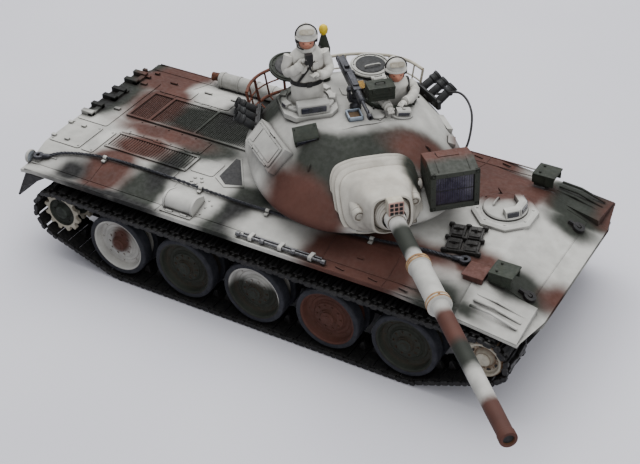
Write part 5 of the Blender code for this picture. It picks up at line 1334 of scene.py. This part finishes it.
def machine_gun():
    axis = MG_AXIS
    post = [turned([(2.0, BASE - 0.4), (2.0, BASE + 0.7), (1.4, BASE + 1.2), (1.2, BASE + 1.6),
                    (1.2, BASE + 3.0)], steps=28),
            *bolts(at(0, 0, BASE + 0.5), 6, 1.6, 0.25, 0.4),
            box((-1.7, 1.7), (-2.6, 2.6), (BASE + 2.8, BASE + 3.9))]
    for side in (-1, 1):
        post.append(prism([(-1.4, BASE + 3.2), (1.4, BASE + 3.2), (1.1, axis + 0.6), (0.5, axis + 1.3),
                           (-0.5, axis + 1.3),
                           (-1.1, axis + 0.6)], (side * 1.8, side * 2.6), "y"))
        post.append(turned([(0.9, 0), (0.9, 0.35), (0.5, 0.5)], (0, 0, 0), "y", 16))
        post[-1] = moved(post[-1], at(0, side * 2.55, axis) @ stretch(1, side, 1))
    low, high = axis - 0.6, axis + 4.4
    box_side = [prism(rounded((3.2, 9.0), (low, high - 0.3), 0.4, 2), (2.5, 11.5), "y"),
                box((3.1, 9.1), (2.4, 11.6), (high - 0.9, high)), box((0.4, 4.0), (2.0, 3.6),
                                                                      (axis - 1.8, axis + 0.2)),
                bent([(6.1, 5.4, high - 0.1), (6.1, 5.6, high + 0.7), (6.1, 8.4, high + 0.7),
                                  (6.1, 8.6, high - 0.1)], 3, 0.22, 8)]
    box_side += [box((8.9, 9.15), (3.0, 11.0), (low + z, low + z + 0.55)) for z in (0.5, 1.6, 2.7)]
    box_side += [box((3.8, 8.4), (11.4, 11.65), (low + z, low + z + 0.55)) for z in (0.5, 1.6, 2.7)]
    box_side += [box((3.8, 8.4), (2.35, 2.6), (low + z, low + z + 0.55)) for z in (0.5, 1.6, 2.7)]
    box_side += [box((9.0, 9.4), (y, y + 0.9), (high - 1.6, high - 0.4)) for y in (3.6, 9.4)]
    make("gun_cradle", "mg_mount", MOUNT, [("steel", post), ("dark_green", box_side)], "gunmetal",
         ["mg_mount"], 0.1)
    steel = [prism(rounded((-1.4, 1.4), (-1.4, 1.9), 0.35, 2), (-18.8, 3.5), "x"),
             prism([(-1.2, 1.6), (1.2, 1.6), (1.0, 2.4), (-1.0, 2.4)], (-9.5, 1.2), "x"),
             box((-8.6, -8.2), (-1.5, 1.5), (1.0, 2.5)), box((-3.2, 0.8), (1.3, 3.4), (0.5, 1.5)),
             turned([(0.3, 3.4), (1.25, 3.4), (1.25, 9.2), (0.9, 9.6), (0.7, 9.6)], (0, 0, 0.5), "x", 24),
             turned([(0.5, 9), (0.62, 9), (0.55, 18.6), (0.95, 18.8), (0.95, 20.4), (0.5, 20.4),
                     (0.35, 19.4), (0.1, 19.4)],
                    (0, 0, 0.5), "x", 20), prism([(17.4, 1.0), (18.2, 1.0), (17.9, 2.2), (17.6, 2.2)],
                                                 (-0.2, 0.2), "y"),
             box((-20.4, -18.7), (-1.3, 1.3), (-1.3, 1.6)), block((-14.5, 1.6, 0.2), (3.0, 0.6, 0.6)),
             tube([(-10.5, 1.3, 0.4), (-10.5, 2.6, 0.4)], 0.35, 8), block((-12.0, 0, 2.3), (1.2, 1.6, 1.0))]
    for side in (-1, 1):
        steel.append(bent([(-20.2, side * 0.9, 1.3), (-21.6, side * 1.0, 1.2), (-22.8, side * 1.05, 0.2),
                                       (-22.4, side * 1.0, -0.8), (-20.2, side * 0.9, -0.9)], 4, 0.32, 8))
    # Painted shade: black dots round the barrel jacket stand for its cooling holes.
    dark = []
    for row in range(7):
        for step in range(4):
            place = at(4.2 + step * 1.35, 0, 0.5) @ spin(row * 51.4 + (step % 2) * 25, "X")
            dark.append(moved(turned([(0.32, 1.1), (0.32, 1.29), (0.1, 1.29)], steps=10), place))
    belt = [box((-0.9 + 0.45 * i, -0.62 + 0.45 * i), (1.0, 3.0), (2.0 - 0.08 * i, 2.45 - 0.08 * i))
            for i in range(9)]
    make("machine_gun_shape", "machine_gun", WEAPON, [("steel", steel), ("black", dark), ("brass", belt)],
         "gunmetal",
         ["machine_gun"], 0.07)


# ---------------------------------------------------------------- gun

def gun():
    drum = [turned([(3.0, -7.9), (4.6, -7.9), (4.8, -7.6), (4.8, 7.6), (4.6, 7.9), (3.0, 7.9)], (0, 0, 0),
                   "y", 40),
            turned([(4.8, 2), (4.6, 6), (4.4, 9), (3.8, 12), (3.5, 14), (3.6, 14.6), (3.4, 15), (3.4, 20.4),
                    (3.1, 20.9),
                    (2.2, 20.9)], (0, 0, 0), "x", 40),
            turned([(1.8, 7), (1.8, 14.1)], (0, 0, 0), "y", 24)]
    drum += bolts(spin(90, "Y") @ at(0, 0, 20.7), 8, 2.8, 0.28, 0.35)
    sight = [prism(rounded((-2.6, 2.6), (2.2, 7.4), 0.5, 3), (17, 20.5), "x"),
             box((17.2, 20.4), (-2.2, 2.2), (1.6, 2.4))]
    frame_bars = [prism(rounded((-2.5, 2.5), (2.3, 7.3), 0.5, 3), (20.4, 20.75), "x")]
    # Painted shade: black squares on the sight's frame stand for its openings.
    holes = [box((20.5, 20.9), (y - 0.55, y + 0.55), (z - 0.55, z + 0.55)) for y in (-1.5, 0, 1.5)
             for z in (3.3, 4.8, 6.3)]
    make("mantlet_shape", "gun", GUN, [("gun", drum), ("cream", sight), ("pink", frame_bars),
                                       ("black", holes)],
         "turret_paint", ["mantlet"], 0.15)
    length = 125.9
    profile = [(1.9, 14.4), (1.9, 21.3), (2.7, 21.3), (2.75, 26), (2.7, 43.6), (3.2, 44.0), (3.7, 44.4),
               (3.7, 46.6),
               (3.3, 47), (3.35, 48), (3.35, 63.2), (3.3, 64.0), (3.8, 64.4), (3.8, 67.0), (3.0, 67.4),
               (2.6, 68.2),
               (2.3, length - 2.8), (2.35, length - 2.6), (2.5, length - 2.4), (2.5, length - 0.3),
               (2.35, length),
               (1.6, length), (1.5, length - 0.3)]
    # Painted shade: a black lining inside the muzzle stands for the dark bore.
    bore = [turned([(1.44, length - 0.6), (1.44, length - 9), (0.1, length - 9)], (0, 0, 0), "x", 48,
                   False)]
    barrel = [turned([*profile, (1.5, length - 9.2), (0.1, length - 9.2)], (0, 0, 0), "x", 48)]
    bands = [turned([(3.4, a), (3.85, a + 0.15), (3.85, a + 0.9), (3.4, a + 1.05)], (0, 0, 0), "x", 48,
                    True)
             for a in (44.4, 45.6, 64.6, 65.9)]
    bands += [moved(bolt(0.4, 0.5), at(a, 0, 3.5)) for a in (45.5, 65.7)]
    make("barrel_shape", "gun", GUN, [("gun", barrel), ("tan_band", bands), ("black", bore)],
         "turret_paint", ["gun_barrel"], smooth=30)


def searchlight():
    outline = [(-3.2, 2.4), (8.4, -5.4), (9.6, -5.4), (9.6, 7.9), (3.4, 10.0), (-3.2, 9.5)]
    case = [prism(outline, (14.7, 30.7), "y")]
    well = [box((4.0, 20), (16.3, 29.1), (-3.7, 6.6))]
    make("searchlight_case", "gun", GUN, [("lamp_paint", case)], "turret_paint", ["searchlight_housing"],
         0.25,
         cuts=well)
    rim = [box((8.7, 9.8), (14.4, 31.0), (6.6, 8.2)), box((8.7, 9.8), (14.4, 31.0), (-5.4, -3.8)),
           box((8.7, 9.8), (14.4, 16.2), (-5.4, 8.2)), box((8.7, 9.8), (29.2, 31.0), (-5.4, 8.2))]
    extra = [tube([(3.4, y, 9.9), (9.4, y, 8.0)], 0.2, 6) for y in (17.5, 27.9)]
    extra += [moved(bolt(0.35, 0.4), at(9.6, y, z) @ spin(90, "Y")) for y in (15.3, 20, 25.4, 30.1)
              for z in (7.4, -4.6)]
    extra += [moved(bolt(0.35, 0.4), at(9.6, y, z) @ spin(90, "Y")) for y in (15.3, 30.1) for z in (-1,
                                                                                                    3.5)]
    extra += [prism(rounded((-1.8, 1.8), (19, 26.4), 0.4, 2), (9.4, 10.1))]
    extra += [box((-3.4, -2.9), (16, 29.4), (4, 8.6)), tube([(-3.2, 16.4, 3.2), (8.4, 16.4, -4.6)], 0.3, 6)]
    make("searchlight_frame", "gun", GUN, [("lamp_paint", rim + extra)], "turret_paint", bevel=0.15)
    pane = [box((8.2, 8.9), (16.2, 29.2), (-3.8, 6.6))]
    lines = [box((8.85, 8.97), (16.4 + 0.8 * i - 0.06, 16.4 + 0.8 * i + 0.06), (-3.7, 6.5))
             for i in range(16)]
    lines.append(box((8.85, 9.0), (16.3, 29.1), (1.4 - 0.1, 1.4 + 0.1)))
    dish = [turned([(5.6, 7.4), (4.0, 5.4), (0.4, 4.6)], (0, 22.7, 1.4), "x", 32)]
    make("searchlight_pane", "gun", GUN, [("lamp_pane", pane), ("black", lines), ("worn", dish)],
         "lamp_glass",
         ["searchlight_glass"])


def canvas():
    """The pleated dust cover, and the loose sleeve that closes it round the gun."""
    rings = []
    knots = ((22.9, 50.6, 14.3, 8.4, 0.92, -1.0), (24.6, 50.8, 14.2, 8.4, 0.9, -0.95), (26.4, 51.0, 13.7,
                                                                                        8.3, 0.84, -0.9),
             (27.8, 51.2, 12.8, 7.9, 0.78, -0.8), (30, 51.6, 11.0, 7.3, 0.66, -0.6), (33, 52.0, 9.2, 6.9,
                                                                                      0.5, -0.4),
             (36.4, 52.3, 7.8, 6.6, 0.3, -0.2), (39.4, 52.5, 6.9, 6.4, 0.12, 0.0), (39.7, 52.5, 6.2, 6.2,
                                                                                    0.1, 0.0),
             (38.6, 52.5, 5.6, 5.6, 0.1, 0.0))
    dense = []
    for a, b in zip(knots, knots[1:]):
        for step in range(5):
            dense.append([p + (q - p) * step / 5 for p, q in zip(a, b)])
    dense.append(list(knots[-1]))
    for index, (x, z, wide, high, lean, middle) in enumerate(dense):
        pleat = 0.62 * math.sin(index * 1.3) if index < 15 else 0.12 * math.sin(index * 0.9)
        ring = []
        for k in range(72):
            angle = math.tau * k / 72
            c, s = math.cos(angle), math.sin(angle)
            across = (wide + pleat) * math.copysign(abs(c) ** 0.55, c)
            rise = (high + pleat) * math.copysign(abs(s) ** 0.55, s)
            sag = 0.25 * noise.noise(Vector((x * 0.25, across * 0.3, rise * 0.3)))
            ring.append((x - lean * rise + sag, min(middle + across, 13.1), z + rise))
        rings.append(ring)
    cover = loft(rings, False, False)
    make("dust_cover", "turret", TURRET, [("canvas", [cover])], "canvas", ["canvas_cover"], smooth=60)
    ports = []
    for x, y, z, radius, length in ((35.2, -9.4, 50.4, 2.5, 9.0), (33.6, 9.2, 52.0, 2.1, 7.0)):
        aim = at(x, y, z) @ spin(8, "Y")
        ports.append(moved(turned([(radius, -length), (radius, -0.5), (radius - 0.3, 0), (radius - 0.7, 0),
                                   (radius - 0.8, -0.4), (radius - 1.2, -0.4), (radius - 1.3, -0.1),
                                   (0.3, -0.1)],
                                  axis="x", steps=36), aim))
        ports.append(moved(turned([(radius, -2.6), (radius + 0.25, -2.4), (radius + 0.25, -2.1),
                                   (radius, -1.9)], axis="x",
                                  steps=36, closed=True), aim))
    ports.append(tube([(27.5, -8.6, 54.5), (30.2, -8.8, 56.4)], [0.9, 0.5], 12))
    make("cover_ports", "turret", TURRET, [("canvas", ports)], "canvas")
    rings = []
    for index in range(25):
        share = index / 24
        radius = 6.1 - 2.3 * share + 0.22 * math.sin(index * 1.4)
        x = 38.4 + 3.6 * share
        centre = Vector((x, 0, 52.5 + 0.25 * share))
        rings.append([centre + Vector((-0.1 * radius * math.sin(math.tau * k / 56),
                                       radius * math.cos(math.tau * k / 56),
                                       radius * math.sin(math.tau * k / 56))) for k in range(56)])
    sleeve_shape = loft(rings, False, False)
    sock = make("cover_sleeve", None, TURRET, [("canvas", [sleeve_shape])], "canvas", smooth=60)
    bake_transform(sock)


# ---------------------------------------------------------------- painted CAD nodes

def inner_gear():
    """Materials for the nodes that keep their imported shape."""
    repaint("hull", "upper_hull", "lower_hull", "rear_plate", "battery_door", "suspension_left",
            "suspension_right")
    repaint("plastic", "gearbox_case")
    repaint("motor", "motor_left", "motor_right")
    repaint("cell", "battery_pack")
    repaint("board", "receiver_board")
    repaint("black", "power_switch")


# ---------------------------------------------------------------- floor, light and camera

def stage():
    paper = Graph("studio_paper", 0.85)
    coords = paper.local()
    shade = paper.fit(paper.noise(coords, 0.01, 2), 0.3, 0.7)
    paper.finish(paper.mix(shade, (0.47, 0.468, 0.51), (0.49, 0.488, 0.525)))
    floor = box((-1500, 1500), (-1500, 1500), (-12.9, -0.9))
    mesh = bpy.data.meshes.new("floor")
    floor.transform(stretch(MM, MM, MM) @ HULL)
    floor.to_mesh(mesh)
    floor.free()
    mesh.materials.append(paper.material)
    obj = bpy.data.objects.new("floor", mesh)
    bpy.context.scene.collection.objects.link(obj)
    world = bpy.data.worlds.new("studio")
    world.use_nodes = True
    background = world.node_tree.nodes["Background"]
    background.inputs["Color"].default_value = (0.93, 0.95, 1.0, 1)
    background.inputs["Strength"].default_value = 0.5
    bpy.context.scene.world = world
    for name, spot, size, power in (("key", (-160, 260, 700), 0.9, 13.0), ("fill", (420, -300, 520), 0.9,
                                                                           5.0)):
        lamp = bpy.data.lights.new(name, "AREA")
        lamp.energy = power
        lamp.size = size
        light = bpy.data.objects.new(name, lamp)
        place = (Vector(spot) + ORIGIN) * MM
        aim = (Vector((0, 0, 20)) + ORIGIN) * MM - place
        light.matrix_world = Matrix.Translation(place) @ aim.to_track_quat("-Z", "Y").to_matrix().to_4x4()
        bpy.context.scene.collection.objects.link(light)


def camera():
    turn, tilt, roll = math.radians(30.68), math.radians(36.2), math.radians(-1.42)
    target, distance = Vector((6.61, -9.64, 20)) + ORIGIN, 486.28
    back = Vector((math.sin(turn) * math.cos(tilt), -math.cos(turn) * math.cos(tilt), math.sin(tilt)))
    right = Vector((math.cos(turn), math.sin(turn), 0))
    up = back.cross(right)
    across = math.cos(roll) * right + math.sin(roll) * up
    above = -math.sin(roll) * right + math.cos(roll) * up
    lens = bpy.data.cameras.new("camera")
    lens.lens = 77.74
    lens.sensor_width = 36
    lens.clip_start = 0.01
    eye = bpy.data.objects.new("camera", lens)
    eye.matrix_world = (Matrix.Translation((target + back * distance) * MM)
                        @ Matrix((across, above, back)).transposed().to_4x4())
    bpy.context.scene.collection.objects.link(eye)
    bpy.context.scene.camera = eye


deck_details()
grille_mesh()
tow_rope()
fender_fittings()
front_fittings()
casting()
cupola()
loader_opening()
hatch_lids()
roof_gear()
stowage()
rack()
smoke_tubes()
crew()
machine_gun()
gun()
searchlight()
canvas()
tracks()
road_wheels()
sprockets_and_idlers()
inner_gear()
stage()
camera()
